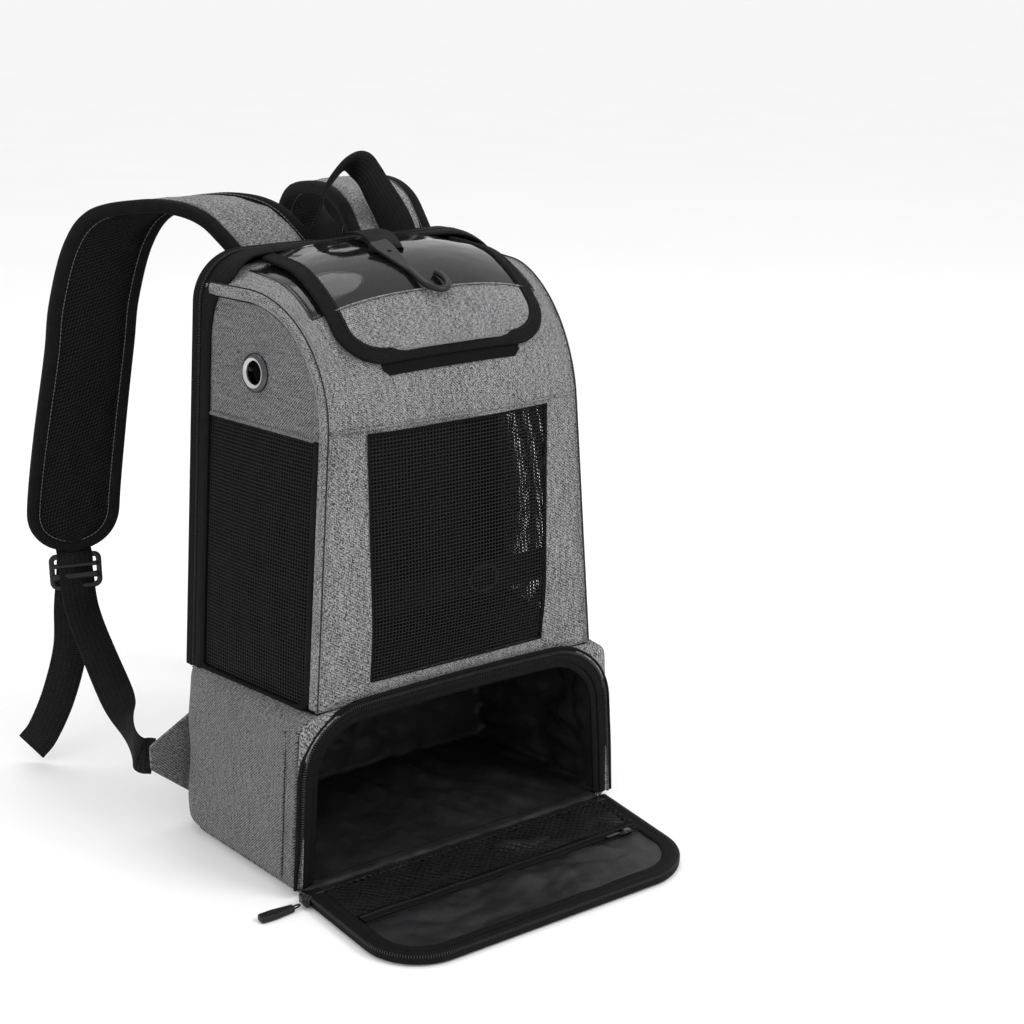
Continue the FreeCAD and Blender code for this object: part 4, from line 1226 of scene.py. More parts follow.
def door_half_at(d, inset=0.0):
    """Half width of the door at a distance d from its fold."""
    long, radius = DOOR_LONG - inset, DOOR_CORNER - inset
    d = np.asarray(d, float)
    half = 0.1445 - inset - DOOR_TAPER * d
    over = np.clip(d - (long - radius), 0, radius)
    return half - (radius - np.sqrt(np.clip(radius ** 2 - over ** 2, 0, None)))


def door_place():
    """The middle of the door's fold and how far back that fold lies."""
    low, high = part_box("door_zip_rim")
    return (low[0] + high[0]) / 2, high[1]


def door_sheet(name, inset, start, height, wave=0.0):
    """A cloth over the door from start, measured from the fold, to its free edge."""
    rows, cols = 60, 90
    middle, fold = door_place()
    d = np.linspace(start, DOOR_LONG - inset, rows)[:, None]
    x = middle - DOOR_TAPER * d + np.linspace(-1, 1, cols)[None] * door_half_at(d, inset)
    flat = xyz(x, fold - d, height).astype(float)
    if wave:
        a, b = np.linspace(0, 1, rows)[:, None], np.linspace(0, 1, cols)[None]
        lift = np.abs(ripple(flat, 0.045, wave, 21)) + ripple(flat, 0.016, wave * 0.2, 22)
        flat[..., 2] += lift * pillow(a, b)
    return grid(name, flat)


def door_edge(inset, height):
    """The door's free edge, from one end of the fold round to the other."""
    middle, fold = door_place()
    straight = DOOR_LONG - inset - DOOR_CORNER
    turn = DOOR_CORNER * np.sin(np.linspace(0, np.pi / 2, 40))
    d = np.concatenate([np.linspace(0.001, straight, 30), straight + turn])
    half, shift = door_half_at(d, inset), middle - DOOR_TAPER * d
    path = np.concatenate([np.stack([shift - half, fold - d], -1),
                           np.stack([shift + half, fold - d], -1)[::-1]])
    path = resample(path, 220)
    return xyz(path[:, 0], path[:, 1], height)


def door_row(d, half, height, count):
    """Points across the door at a distance d from its fold."""
    middle, fold = door_place()
    return xyz(middle - DOOR_TAPER * d + np.linspace(-half, half, count), fold - d, height)


def build_door(s):
    outer = door_sheet("door_outer_cloth", 0.004, 0.0, 0.0007)
    thicken(outer, 0.0058, offset=1.0, bevel=0.0015)
    dress(outer, "heather", "door", "grey_fabric", "door_panel")
    lining = door_sheet("door_lining_cloth", 0.0065, 0.0005, 0.0068, wave=0.0024)
    thicken(lining, 0.0006, offset=1.0)
    dress(lining, "lining", "door", "black_fabric", "door_lining")

    # a pocket of diamond net, closed by a zip
    zip_at, start, pitch = 0.060, 0.007, 0.0062
    middle, fold = door_place()
    d = np.linspace(start, zip_at - 0.004, 14)
    diamonds = []
    for k in np.arange(-0.20, 0.14, pitch):
        for lean in (1, -1):
            x = lean * (k + d - start)
            inside = np.abs(x) < door_half_at(d, 0.012)
            if inside.sum() > 1:
                line = xyz(middle - DOOR_TAPER * d + x, fold - d, 0.0100)[inside]
                line[:, 2] += np.abs(ripple(line, 0.045, 0.0016, 31))
                diamonds.append(line)
    net(line_piece("door_pocket_net", *diamonds), 0.00048, "door", "door_pocket")
    path = door_row(zip_at, 0.1275, 0.0098, 60)
    path[:, 2] += ripple(path, 0.05, 0.0003, 4)
    dress(ribbon("door_pocket_zip_tape", path, (0.0, 1.0, 0.0), 0.012, 0.0010), "tape",
          "door", "zip_tape")
    coil("door_pocket_zip_coil", path + (0, 0, 0.0009), s.tooth_pitch, 0.0011, "door")
    rows = [door_row(zip_at, 0.126, 0.0098, 50) - (0, offset, 0) for offset in (0.0075, -0.0075)]
    stitches("door_pocket_stitches", rows, "door", "black_fabric", 0.0032, 0.0024, 0.0003)

    trim("door_zip_rim_tape", door_edge(0.0044, 0.0052), UP, oval(0.0090, 0.0090, 16, 0.7), "tape",
         "door", "zip_tape", "door_zip_rim")
    coil("door_zip_coil", door_edge(0.0010, 0.0076), s.tooth_pitch * COIL_WIDE, 0.0014, "door")
    trim("door_inner_binding", door_edge(0.0100, 0.0078), UP, oval(0.0085, 0.0030, 10, 0.7),
         "binding", "door", "black_fabric")

    # soft fold that joins the door to the base's floor
    profile = [(FRONT + 0.0050, 0.0062), (FRONT - 0.0010, 0.0056), (FRONT - 0.0045, 0.0040),
               (FRONT - 0.0085, 0.0046), (FRONT - 0.0120, 0.0070), (FRONT - 0.0180, 0.0086)]
    points = across_rows(np.linspace(middle - 0.140, middle + 0.140, 80), profile, 22)
    points[..., 2] += np.abs(ripple(points, 0.02, 0.0006, 6))
    piece = thicken(grid("door_fold_cloth", points), 0.0016, offset=0.0)
    piece.data.materials.append(PAINTS["lining"])
    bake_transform(piece)


def across_rows(x, profile, count):
    """A sheet with a profile of y and height, the same at every x."""
    rows = curve_through(profile, count)
    return xyz(x[None], rows[:, :1], rows[:, 1:])


# ------------------------------------------------------------------ top flap

def flap_half_at(s_at, inset=0.0):
    """Half width of the flap at a place along the band; its front corners are round."""
    start, radius = FLAP_FRONT + inset, FLAP_CORNER - inset
    t = np.clip((start + radius - np.asarray(s_at, float)) / radius, 0, 1)
    return FLAP_HALF - inset - (radius - np.sqrt(np.clip(radius ** 2 - (t * radius) ** 2, 0, None)))


def flap_shift(s_at):
    """The flap drifts a little to the right towards the back."""
    return 0.006 * smooth((np.asarray(s_at, float) - 0.10) / 0.11)


def flap_sheet(name, start, stop, off, rows, crown):
    """A sheet of the flap between two places along the band, a little higher in its middle."""
    t = np.linspace(start, stop, rows)[:, None]
    bias = np.linspace(-1, 1, 60)[None]
    x = flap_shift(t) + bias * flap_half_at(t, 0.006)
    return grid(name, on_band(x, t, off + crown * (1 - bias ** 2)), flip=True)


FLAP_TOP = 0.0034        # how high the flap's edges stand above the band
FLAP_SPLIT = 0.0965      # where the clear window ends and the cloth starts
FLAP_REAR = ARC + 0.0365


def build_flap():
    cloth = flap_sheet("flap_cloth", FLAP_FRONT + 0.006, FLAP_SPLIT, FLAP_TOP, 30, 0.0030)
    thicken(cloth, 0.0022)
    dress(cloth, "heather", "flap", "grey_fabric", "flap_panel")
    window = flap_sheet("flap_window_film", FLAP_SPLIT - 0.003, FLAP_REAR, FLAP_TOP - 0.0008, 50, 0.0034)
    thicken(window, 0.0007)
    dress(window, "film", "flap", "clear_film", "flap_window")
    x = np.linspace(-0.083, 0.083, 60)
    path = on_band(x, FLAP_SPLIT, FLAP_TOP + 0.0004 + 0.0032 * (1 - (x / 0.084) ** 2))
    dress(sweep("flap_window_hem", path, *side_face(path), oval(0.0024, 0.0012, 8)),
          "heather", "flap", "grey_fabric")
    build_flap_binding()
    for name, start, stop, off, body, node in (
            ("flap_hook_strip", 0.0500, 0.0610, 0.0015, "flap", "flap_hook_patch"),
            ("flap_loop_strip", 0.0395, 0.0560, 0.0004, "bag", "flap_loop_patch")):
        dress(patch(name, start, stop, off), "pile", body, "touch_fastener", node)
    build_top_film()


def raised(line, off, above):
    """A path over the band and the direction that stands up from it."""
    path = on_band(line[:, 0], line[:, 1], off)
    return path, unit(on_band(line[:, 0], line[:, 1], above) - path)


def build_flap_binding():
    """Binding down one side of the flap, round its front corners and up the other side."""
    inset, flat = 0.0058, FLAP_HALF - FLAP_CORNER
    t = np.linspace(FLAP_REAR, FLAP_FRONT + FLAP_CORNER, 70)
    left = np.stack([flap_shift(t) - flap_half_at(t) + inset, t], -1)
    arc = np.linspace(0, np.pi / 2, 24)[1:]
    corner = np.stack([-flat - (FLAP_CORNER - inset) * np.cos(arc),
                       FLAP_FRONT + FLAP_CORNER - (FLAP_CORNER - inset) * np.sin(arc)], -1)
    straight = np.stack([np.linspace(-flat, 0, 30)[1:], np.full(29, FLAP_FRONT + inset)], -1)
    half_line = np.concatenate([left, corner, straight])
    right = half_line[::-1][1:] * np.array([-1.0, 1.0])
    right[:, 0] += 2 * flap_shift(right[:, 1])
    line = resample(np.concatenate([half_line, right]), 300)
    path, up = raised(line, FLAP_TOP - 0.0006, FLAP_TOP + 0.001)
    trim("flap_edge_binding", path, up, oval(0.0126, 0.0040, 14, 0.55), "binding", "flap",
         "black_fabric", "flap_binding")
    inner = path - np.cross(tangents(path), up) * 0.0042 + up * 0.0021
    stitches("flap_stitches", [inner], "flap", "black_fabric", 0.0030, 0.0023, 0.0003)


def build_top_film():
    """Clear film in the top of the shell, and the edge it is sewn to."""
    t = np.linspace(0.0985, ARC + 0.034, 60)
    x = np.linspace(-FILM_HALF + 0.001, FILM_HALF - 0.001, 70)
    film = grid("top_film_sheet", on_band(x[None], t[:, None], -0.0012), flip=True)
    thicken(film, 0.0006)
    dress(film, "film", "bag", "clear_film", "top_film")
    front, rear = 0.0995, ARC + 0.030
    rim = np.concatenate([
        np.stack([np.full(40, -FILM_HALF), np.linspace(rear, front, 40)], -1),
        np.stack([np.linspace(-FILM_HALF, FILM_HALF, 60)[1:], np.full(59, front)], -1),
        np.stack([np.full(39, FILM_HALF), np.linspace(front, rear, 40)[1:]], -1)])
    path, up = raised(rim, 0.0004, 0.002)
    trim("top_film_edge", path, up, oval(0.0026, 0.0012, 8), "film", "bag", "clear_film")


def patch(name, start, stop, off):
    """A strip of touch fastener under the flap's front edge, with clipped corners."""
    half, clip = 0.0600, 0.005
    t = np.linspace(start, stop, 8)[:, None]
    wide = half - clip * smooth(1 - (t - start) / clip)
    x = -0.002 + np.linspace(-1, 1, 60)[None] * wide
    return thicken(grid(name, on_band(x, t, off), flip=True), 0.0011, offset=1.0, bevel=0.0003)


# ------------------------------------------------------------------ hook

def build_hook():
    over = FLAP_TOP + 0.0040
    line = np.array([(0.004, ARC + 0.0385), (0.003, ARC + 0.028), (0.000, ARC + 0.010),
                     (-0.005, ARC - 0.008), (-0.009, ARC - 0.020)])
    line = curve_through(line, 50)
    height = over + 0.0035 * np.sin(np.linspace(0.1, 1, 50) * np.pi) + 0.001
    top = on_band(line[:, 0], line[:, 1], height)
    under = line[::-1][:26]
    back = top[::-1][:26] - (on_band(under[:, 0], under[:, 1], 0.003)
                             - on_band(under[:, 0], under[:, 1], 0.0))
    nose = np.array([(top[-1] + back[0]) / 2 + (top[-1] - top[-3]) * 1.2])
    path = curve_through(np.concatenate([top[::4], nose, back[2::5]]), 90)
    piece = ribbon("hook_strap_web", path, (1.0, 0.18, 0.0), 0.026, 0.0017)
    dress(piece, "webbing", "hook_strap", "webbing", "hook_strap")

    eye, toe = np.array([-0.016, -0.004, 0.4665]), np.array([-0.006, -0.060, 0.4395])
    length = np.linalg.norm(toe - eye)
    down = (toe - eye) / length
    across = unit(np.array([1.0, 0.0, 0.0]) - down * down[0])
    normal = np.cross(across, -down)
    place = basis(across, -down, normal, eye)
    waist = -length * 0.62
    plate = rounded([(-0.0085, 0.004), (0.0085, 0.004), (0.0080, -0.006), (0.0022, waist),
                     (-0.0028, waist), (-0.0085, -0.006), (-0.0085, 0.004)],
                    [0.002, 0.003, 0.002, 0.002, 0.003], 0.001)
    body = prism("hook_plate", plate[:-1], -0.0016, 0.0016, place, 0.0011, 3)
    t = np.linspace(np.pi, 2.22 * np.pi, 40)
    curl = 0.0100
    bend = np.stack([curl - 0.0012 + curl * np.cos(t), curl * (1.15 + 1.25 * np.sin(t)) - length], -1)
    stem = np.stack([np.linspace(-0.0006, bend[0, 0], 12), np.linspace(-length * 0.5, bend[0, 1], 12)], -1)
    flat = resample(np.concatenate([stem, bend[1:]]), 80)
    path = np.array([place @ Vector((x, y, 0.0)) for x, y in flat])
    normals = np.broadcast_to(normal, path.shape)
    tube = sweep("hook_curl", path, np.cross(tangents(path), normals), normals, oval(0.0052, 0.0046, 12))
    dress(join_all("carry_hook", [body, tube]), "plastic", "hook", "black_plastic", "hook")
    spot = place @ Vector((0.0, -0.010, 0.0017))
    turn = np.linspace(0, 2 * np.pi, 20, endpoint=False)
    pin = prism("hook_rivet", 0.0016 * np.stack([np.cos(turn), np.sin(turn)], -1), 0, 0.0007,
                basis(across, -down, normal, spot), 0.0002)
    dress(pin, "enamel", "hook", "black_metal")


# ------------------------------------------------------------------ back panel and handle

def build_back():
    low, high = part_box("back_panel")
    foot = SHELF + 0.002
    path, _ = ring_path(0.0002, 150)
    path = path[path[:, 1] > foot]
    outline = np.concatenate([path, [[path[-1, 0], foot], [path[0, 0], foot]]])
    place = basis((1, 0, 0), UP, AHEAD, (0, (low[1] + high[1]) / 2, 0))
    panel = prism("back_panel_cloth", outline, -0.0026, 0.0024, place, 0.0018, 3)
    dress(panel, "panel", "back", "black_fabric", "back_panel")
    for name in ("back_cushion_left", "back_cushion_right", "lumbar_cushion"):
        cushion(name)
    low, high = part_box("strap_anchor")
    x = np.linspace(low[0], high[0], 60)
    path = xyz(x, (low[1] + high[1]) / 2, (low[2] + high[2]) / 2)
    band_web = ribbon("strap_anchor_band", path, UP, high[2] - low[2] + 0.006, 0.0028)
    dress(band_web, "webbing", "back", "webbing", "strap_anchor")
    lines = [xyz(x, high[1] + 0.0001, z) for z in (low[2] + 0.001, high[2] - 0.001)]
    stitches("strap_anchor_stitches", lines, "back", "webbing", 0.0034, 0.0026, 0.0004, "thread")
    build_hinge()
    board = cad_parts["back_board"]
    board.data.materials.clear()
    board.data.materials.append(PAINTS["inside"])


def build_hinge():
    """Sewn hinge between the shelf's rear edge and the back panel."""
    profile = [(0.0700, SHELF - 0.0020), (0.0770, SHELF - 0.0010), (0.0815, SHELF + 0.0010),
               (0.0835, SHELF + 0.0035), (0.0840, SHELF + 0.0090)]
    points = across_rows(np.linspace(-0.146, 0.146, 60), profile, 20)
    piece = outward(thicken(grid("back_hinge_cloth", points), 0.0016, offset=0.0))
    piece.data.materials.append(PAINTS["panel"])
    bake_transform(piece)


def rounded_block(name, low, high, offset, segments, upright=False):
    """A box with rounded edges; upright rounds only those that run front to back."""
    work = bmesh.new()
    bmesh.ops.create_cube(work, size=1.0)
    for vert in work.verts:
        vert.co = Vector(low + (np.array(vert.co) + 0.5) * (high - low))
    edges = [e for e in work.edges if not upright or abs((e.verts[0].co - e.verts[1].co).y) > 0.001]
    bmesh.ops.bevel(work, geom=edges, offset=offset, segments=segments, affect="EDGES")
    mesh = bpy.data.meshes.new(name)
    work.to_mesh(mesh)
    work.free()
    return link(name, mesh)


def spots_of(mesh):
    return np.array([v.co for v in mesh.vertices])


def blow_up(piece):
    """Lets cloth swell a closed piece, moving no point further than a cap."""
    pressure, steps, cap = 4.0, 20, 0.006
    start = spots_of(piece.data)
    cloth = piece.modifiers.new("Cloth", "CLOTH")
    cloth.settings.use_pressure = True
    cloth.settings.uniform_pressure_force = pressure
    cloth.settings.effector_weights.gravity = 0.0
    scene = bpy.context.scene
    for step_at in range(1, steps + 1):
        scene.frame_set(step_at)
    graph = bpy.context.evaluated_depsgraph_get()
    moved = bpy.data.meshes.new_from_object(piece.evaluated_get(graph))
    shift = spots_of(moved) - start
    piece.modifiers.clear()
    scene.frame_set(1)
    reach = np.linalg.norm(shift, axis=1, keepdims=True)
    start += shift * np.minimum(1, cap / np.maximum(reach, 1e-9))
    bpy.data.meshes.remove(moved)
    piece.data.vertices.foreach_set("co", start.astype(np.float32).ravel())


def cushion(node):
    """A foam cushion under air mesh: a block that cloth blows up into a pillow."""
    low, high = (np.array(v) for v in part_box(node))
    middle = (low + high) / 2
    piece = rounded_block(node + "_pad", low, high, 0.018, 5, upright=True)
    centre = Vector(middle)
    piece.data.transform(Matrix.Translation(centre) @ Matrix.Diagonal((0.97, 0.80, 0.97, 1.0))
                         @ Matrix.Translation(-centre))
    remesh = piece.modifiers.new("Voxels", "REMESH")
    remesh.mode = "VOXEL"
    remesh.voxel_size = 0.0035
    ease = piece.modifiers.new("Ease", "SMOOTH")
    ease.factor = 0.6
    ease.iterations = 14
    freeze(piece)
    blow_up(piece)
    coords = spots_of(piece.data)
    coords[:, 1] = np.maximum(coords[:, 1], low[1])
    groove = np.exp(-(((coords[:, 2] - middle[2]) / 0.004) ** 2))
    coords[:, 1] -= 0.0035 * groove * (coords[:, 1] > middle[1])
    piece.data.vertices.foreach_set("co", coords.astype(np.float32).ravel())
    sub = piece.modifiers.new("Smooth", "SUBSURF")
    sub.levels = sub.render_levels = 1
    freeze(piece)
    cloth_uv(piece.data, spots_of(piece.data)[:, [0, 2]])
    piece.data.polygons.foreach_set("use_smooth", [True] * len(piece.data.polygons))
    dress(piece, "air", "back", "air_mesh", node)


def build_handle():
    """Webbing loop: flat where it is sewn, turned on edge and folded at the grip."""
    count = 140
    low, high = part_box("carry_handle")
    foot, crown = low[2] - 0.012, high[2] - 0.0075
    line = [(-0.035, foot), (-0.035, foot + 0.014), (-0.039, foot + 0.034), (-0.037, foot + 0.052),
            (-0.027, crown - 0.010), (-0.013, crown), (0.001, crown - 0.006), (0.015, crown - 0.027),
            (0.027, foot + 0.030), (0.034, foot + 0.014), (0.036, foot)]
    flat = curve_through(line, count)
    path = xyz((low[0] + high[0]) / 2 + flat[:, 0], (low[1] + high[1]) / 2, flat[:, 1])
    rise = (path[:, 2] - foot - 0.014) / (crown - foot - 0.014)
    t = np.linspace(0, 1, count)
    turn = (smooth((t - 0.46) / 0.14) - 1) * smooth((t - 0.10) / 0.16)
    run = tangents(path)
    rear = np.array([0.0, 1.0, 0.0])
    across = unit(np.cross(run, rear)) * np.cos(turn)[:, None] + rear * np.sin(turn)[:, None]
    face = np.cross(run, across)
    half = (0.031 - 0.007 * smooth(rise)) / 2
    thick = 0.0010 + 0.0006 * smooth((rise - 0.5) / 0.3)
    section = np.array([(-1, -0.3), (-0.96, -1), (0.96, -1), (1, -0.3), (1, 0.3), (0.96, 1),
                        (-0.96, 1), (-1, 0.3)])
    points = (path[:, None] + section[None, :, :1] * half[:, None, None] * across[:, None]
              + section[None, :, 1:] * thick[:, None, None] * face[:, None])
    round_it = [0, 0.0005, 0.031, 0.0315, 0.032, 0.0325, 0.063, 0.0635]
    uv = np.stack(np.meshgrid(np.linspace(0, 0.26, count), round_it, indexing="ij"), -1)
    piece = outward(grid("handle_web", points, ring=True, uv=uv))
    dress(piece, "webbing", "back", "webbing", "carry_handle")


# ------------------------------------------------------------------ shoulder straps

STRAP_LINE = [(0, 0.452), (0.012, 0.466), (0.028, 0.481), (0.050, 0.489), (0.080, 0.490),
              (0.117, 0.482), (0.138, 0.457), (0.153, 0.412), (0.160, 0.372), (0.173, 0.305),
              (0.183, 0.245), (0.1865, 0.203)]
PAD_HALF = 0.0370


def strap_frame(side, count):
    """Middle line of a strap, the direction of its width and of its outer face."""
    line = curve_through(STRAP_LINE, count)
    behind, z = line[:, 0], line[:, 1]
    slant = 0.7071
    path = (xyz(-0.052 - behind * slant, 0.0875 + behind * slant, z) if side < 0
            else xyz(0.054 + behind * 0.06, 0.0875 + behind, z))
    t = np.linspace(0, 1, count)
    across = unit(xyz(1.0, smooth((t - 0.55) / 0.45) * 0.30 * side, np.zeros(count)))
    face = unit(np.cross(across, tangents(path)))
    return path, across, -face if face[count // 2][1] < 0 else face, t


def pad_half_at(path, inset=0.0):
    """Half width of a pad: straight, then a round lower end."""
    run = lengths(path)
    left = run[-1] - run - inset
    radius = 0.034 - inset * 0.5
    t = np.clip(1 - left / radius, 0, 1)
    return (PAD_HALF - inset) * np.sqrt(np.clip(1 - 0.92 * t ** 2.4, 0, None)), run


def build_straps():
    for side, label in SIDES:
        count = 170
        path, across, face, t = strap_frame(side, count)
        half, run = pad_half_at(path, 0.006)
        keep = run < run[-1] - 0.004
        cols = np.linspace(-1, 1, 34)
        dome = np.sqrt(np.clip(1 - cols ** 2 * 0.85, 0, None))
        for name, sign, material, slot, node in (
                ("cloth", 1, "strap_cloth", "strap_fabric", f"strap_pad_{label}"),
                ("mesh", -1, "air", "air_mesh", None)):
            rise = 0.0052 * dome[None] * np.ones((count, 1))
            dent = np.abs(ripple(path[:, None] + across[:, None] * (cols * PAD_HALF)[None, :, None],
                                 0.045, 0.0010, 14))
            crease = 0.0 if sign > 0 else 0.0018 * np.exp(-((t[:, None] - 0.30) / 0.012) ** 2)
            rise = (rise - dent - crease) * smooth(0.35 + t[:, None] / 0.08)
            points = (path[:, None] + across[:, None] * (half[:, None] * cols[None])[..., None]
                      + face[:, None] * (sign * rise)[..., None])
            piece = grid(f"strap_{label}_{name}", points[keep], flip=(sign > 0) == (side < 0))
            outward(thicken(piece, 0.0012))
            dress(piece, material, f"strap_{label}", slot, *([node] if node else []))
        strap_binding(label, path, across, face)
        strap_lock(label, path, across)
        strap_webbing(side, label, path)


def strap_binding(label, path, across, face):
    """Binding down one edge of the pad, round its lower end and up the other edge."""
    half, run = pad_half_at(path, 0.0042)
    keep = run < run[-1] - 0.003
    left, right = path - across * half[:, None], path + across * half[:, None]
    tail = path[-1] + tangents(path)[-1] * -0.0015
    outline = np.concatenate([left[keep], [tail], right[keep][::-1]])
    normals = np.concatenate([face[keep], [face[-1]], face[keep][::-1]])
    line = resample(np.concatenate([outline, normals], 1), 360, outline)
    outline, normals = line[:, :3], line[:, 3:]
    run_dir = tangents(outline)
    side_dir = unit(np.cross(run_dir, normals))
    piece = sweep(f"strap_{label}_binding", outline, side_dir, np.cross(side_dir, run_dir),
                  oval(0.0108, 0.0104, 18, 0.75))
    dress(piece, "binding", f"strap_{label}", "strap_fabric")
    inner = outline - side_dir * 0.0046 * np.sign((side_dir[40] * (outline[40] - path[20])).sum())
    lines = [inner + normals * 0.0044, inner - normals * 0.0044]
    stitches(f"strap_{label}_stitches", lines, f"strap_{label}", "strap_fabric", 0.0034, 0.0026,
             0.00035, "thread")


def strap_lock(label, path, across):
    """Ladder lock: a frame, its bars and the webbing loop that holds it to the pad."""
    low, high = (np.array(v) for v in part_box(f"ladder_lock_{label}"))
    right, up = Vector(across[-1]).normalized(), Vector(UP)
    out = right.cross(up)
    place = basis(right, up, out, (low + high) / 2)
    tall, wide = (high[2] - low[2]) / 2, 0.0195
    loop = rounded([(0, -tall), (wide, -tall), (wide, tall), (-wide, tall), (-wide, -tall), (0, -tall)],
                   [0.005, 0.004, 0.004, 0.005], 0.001)[:-1]
    ring = np.array([place @ Vector((x, y, 0)) for x, y in loop])
    parts = [ring_sweep("lock_frame", ring, np.array(out), oval(0.0046, 0.0042, 10, 0.7))]
    for y, deep in ((0.0055, 0.0022), (-0.0040, 0.0038)):
        bar = np.array([place @ Vector((x, y, 0.0012)) for x in np.linspace(-wide, wide, 14)])
        ups, outs = (np.broadcast_to(np.array(v), bar.shape) for v in (up, out))
        parts.append(sweep("lock_bar", bar, ups, outs, oval(deep + 0.0018, 0.0034, 10, 0.7)))
    piece = join_all(f"ladder_lock_{label}_body", parts)
    dress(piece, "plastic", f"strap_{label}", "black_plastic", f"ladder_lock_{label}")
    ends = [place @ Vector((0, tall + 0.001, 0.0024)), place @ Vector((0, tall - 0.006, 0.0030))]
    loop_path = curve_through([path[-1] - tangents(path)[-1] * 0.014, path[-1], *ends], 30)
    piece = ribbon(f"lock_loop_{label}_web", loop_path, np.array(right), 0.029, 0.0022)
    dress(piece, "webbing", f"strap_{label}", "webbing", f"lock_loop_{label}")


def strap_webbing(side, label, path):
    """The free tail that hangs from the lock, and the leg that runs down to the base's corner."""
    x, y, _ = path[-1]
    down = np.array([(x, y + 0.002, 0.196), (x, y + 0.006, 0.178), (x + 0.002 * side, y + 0.010, 0.150),
                     (x + 0.004 * side, y + 0.014, 0.110), (x + 0.014 * side, y + 0.024, 0.065),
                     (x + 0.026 * side, y + 0.036, 0.030), (x + 0.034 * side, y + 0.046, 0.014)])
    line = curve_through(down, 70)
    t = np.linspace(0, 1, 70)
    across = xyz(np.cos(t * 0.9), np.sin(t * 0.9) * side, 0.0)
    piece = ribbon(f"web_tail_{label}_web", line, across, 0.029, 0.0018)
    dress(piece, "webbing", f"strap_{label}", "webbing", f"web_tail_{label}")
    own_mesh(piece)

    low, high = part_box(f"corner_tab_{label}")
    tip = np.array([low[0] + 0.004 if side < 0 else high[0] - 0.004, high[1] + 0.001, 0.062])
    leg = np.array([tip, tip + (side * 0.008, 0.012, 0.002),
                    (0.62 * tip[0] + 0.38 * x, 0.62 * tip[1] + 0.38 * y, 0.080),
                    (0.25 * tip[0] + 0.75 * x, 0.30 * tip[1] + 0.70 * y, 0.118),
                    (x, y - 0.010, 0.150), (x, y - 0.003, 0.178), (x, y - 0.001, 0.190)])
    line = curve_through(leg, 90)
    t = np.linspace(0, 1, 90)
    start, end_dir = np.array([-0.12 * side, 0.35, 0.93]), np.array([0.99, 0.12 * side, 0.0])
    mix = smooth((t - 0.12) / 0.62)[:, None]
    across = start * (1 - mix) + end_dir * mix
    piece = ribbon(f"web_leg_{label}_web", line, across, 0.029, 0.0018)
    dress(piece, "webbing", f"webbing_{label}", "webbing", f"web_leg_{label}")


# ------------------------------------------------------------------ sliders

def build_sliders():
    for name in ("door_slider", "main_slider", "pocket_slider"):
        slider_body(name)
    low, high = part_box("door_pull")
    y, z = (low[1] + high[1]) / 2, (low[2] + high[2]) / 2
    near, far = high[0] - 0.004, low[0] + 0.012
    outline = rounded([(low[0], y), (low[0], y - 0.0042), (far, y - 0.0046), (near, y - 0.0026),
                       (near, y + 0.0026), (far, y + 0.0046), (low[0], y + 0.0042), (low[0], y)],
                      [0.002, 0.004, 0.001, 0.001, 0.004, 0.002], 0.001)
    pull = prism("door_pull_grip", outline[:-1], z - 0.0023, z + 0.0023, None, 0.0012, 3)
    tail, bend = high[0] - 0.008, high[0] - 0.001
    line = curve_through([(tail, y - 0.0015, z), (bend, y - 0.0015, z + 0.0006),
                          (high[0] + 0.0015, y, z + 0.0010), (bend, y + 0.0015, z + 0.0006),
                          (tail, y + 0.0015, z)], 30)
    wire = sweep("door_pull_loop", line, *side_face(line), oval(0.0014, 0.0014, 8))
    dress(join_all("door_pull_piece", [pull, wire]), "rubber", "door_pull", "pull_rubber",
          "door_pull")

    low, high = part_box("main_pull")
    long = high[2] - low[2]
    top = (low[0] + 0.001, (low[1] + high[1]) / 2, high[2])
    down = Vector(((high[0] - low[0] - 0.002) / long, 0, -1)).normalized()
    across = Vector((0, 1, 0))
    place = basis(across, down, across.cross(down), top)
    outline = rounded([(0, 0), (0.0022, 0), (0.0034, 0.010), (0.0036, long - 0.002),
                       (-0.0036, long - 0.002), (-0.0034, 0.010), (-0.0022, 0), (0, 0)],
                      [0.001, 0.004, 0.002, 0.002, 0.004, 0.001], 0.001)
    tab = prism("main_pull_grip", outline[:-1], -0.0011, 0.0011, place, 0.0007)
    dress(tab, "rubber", "main_pull", "pull_rubber", "main_pull")


def slider_body(node):
    """A zip slider, rounded all over; the pocket's has its pull in one with it."""
    name = node + "_body"
    low, high = (np.array(v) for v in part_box(node))
    pull = node == "pocket_slider"
    if pull:
        low[0] = high[0] - 0.012
    piece = rounded_block(name, low, high, min(high - low) * 0.28, 4)
    piece.data.polygons.foreach_set("use_smooth", [True] * len(piece.data.polygons))
    if pull:
        y, z = (low[1] + high[1]) / 2, high[2] - 0.0010
        tip, root = low[0] - 0.013, low[0] + 0.001
        tab = rounded([(tip, y), (tip, y - 0.002), (root, y - 0.0012), (root, y + 0.0012),
                       (tip, y + 0.002), (tip, y)], [0.001, 0.0005, 0.0005, 0.001], 0.0006)
        piece = join_all(name, [piece, prism("tab", tab[:-1], z - 0.0006, z + 0.0006, None, 0.0003)])
    dress(piece, "enamel", node, "black_metal", node)


# ------------------------------------------------------------------ stage

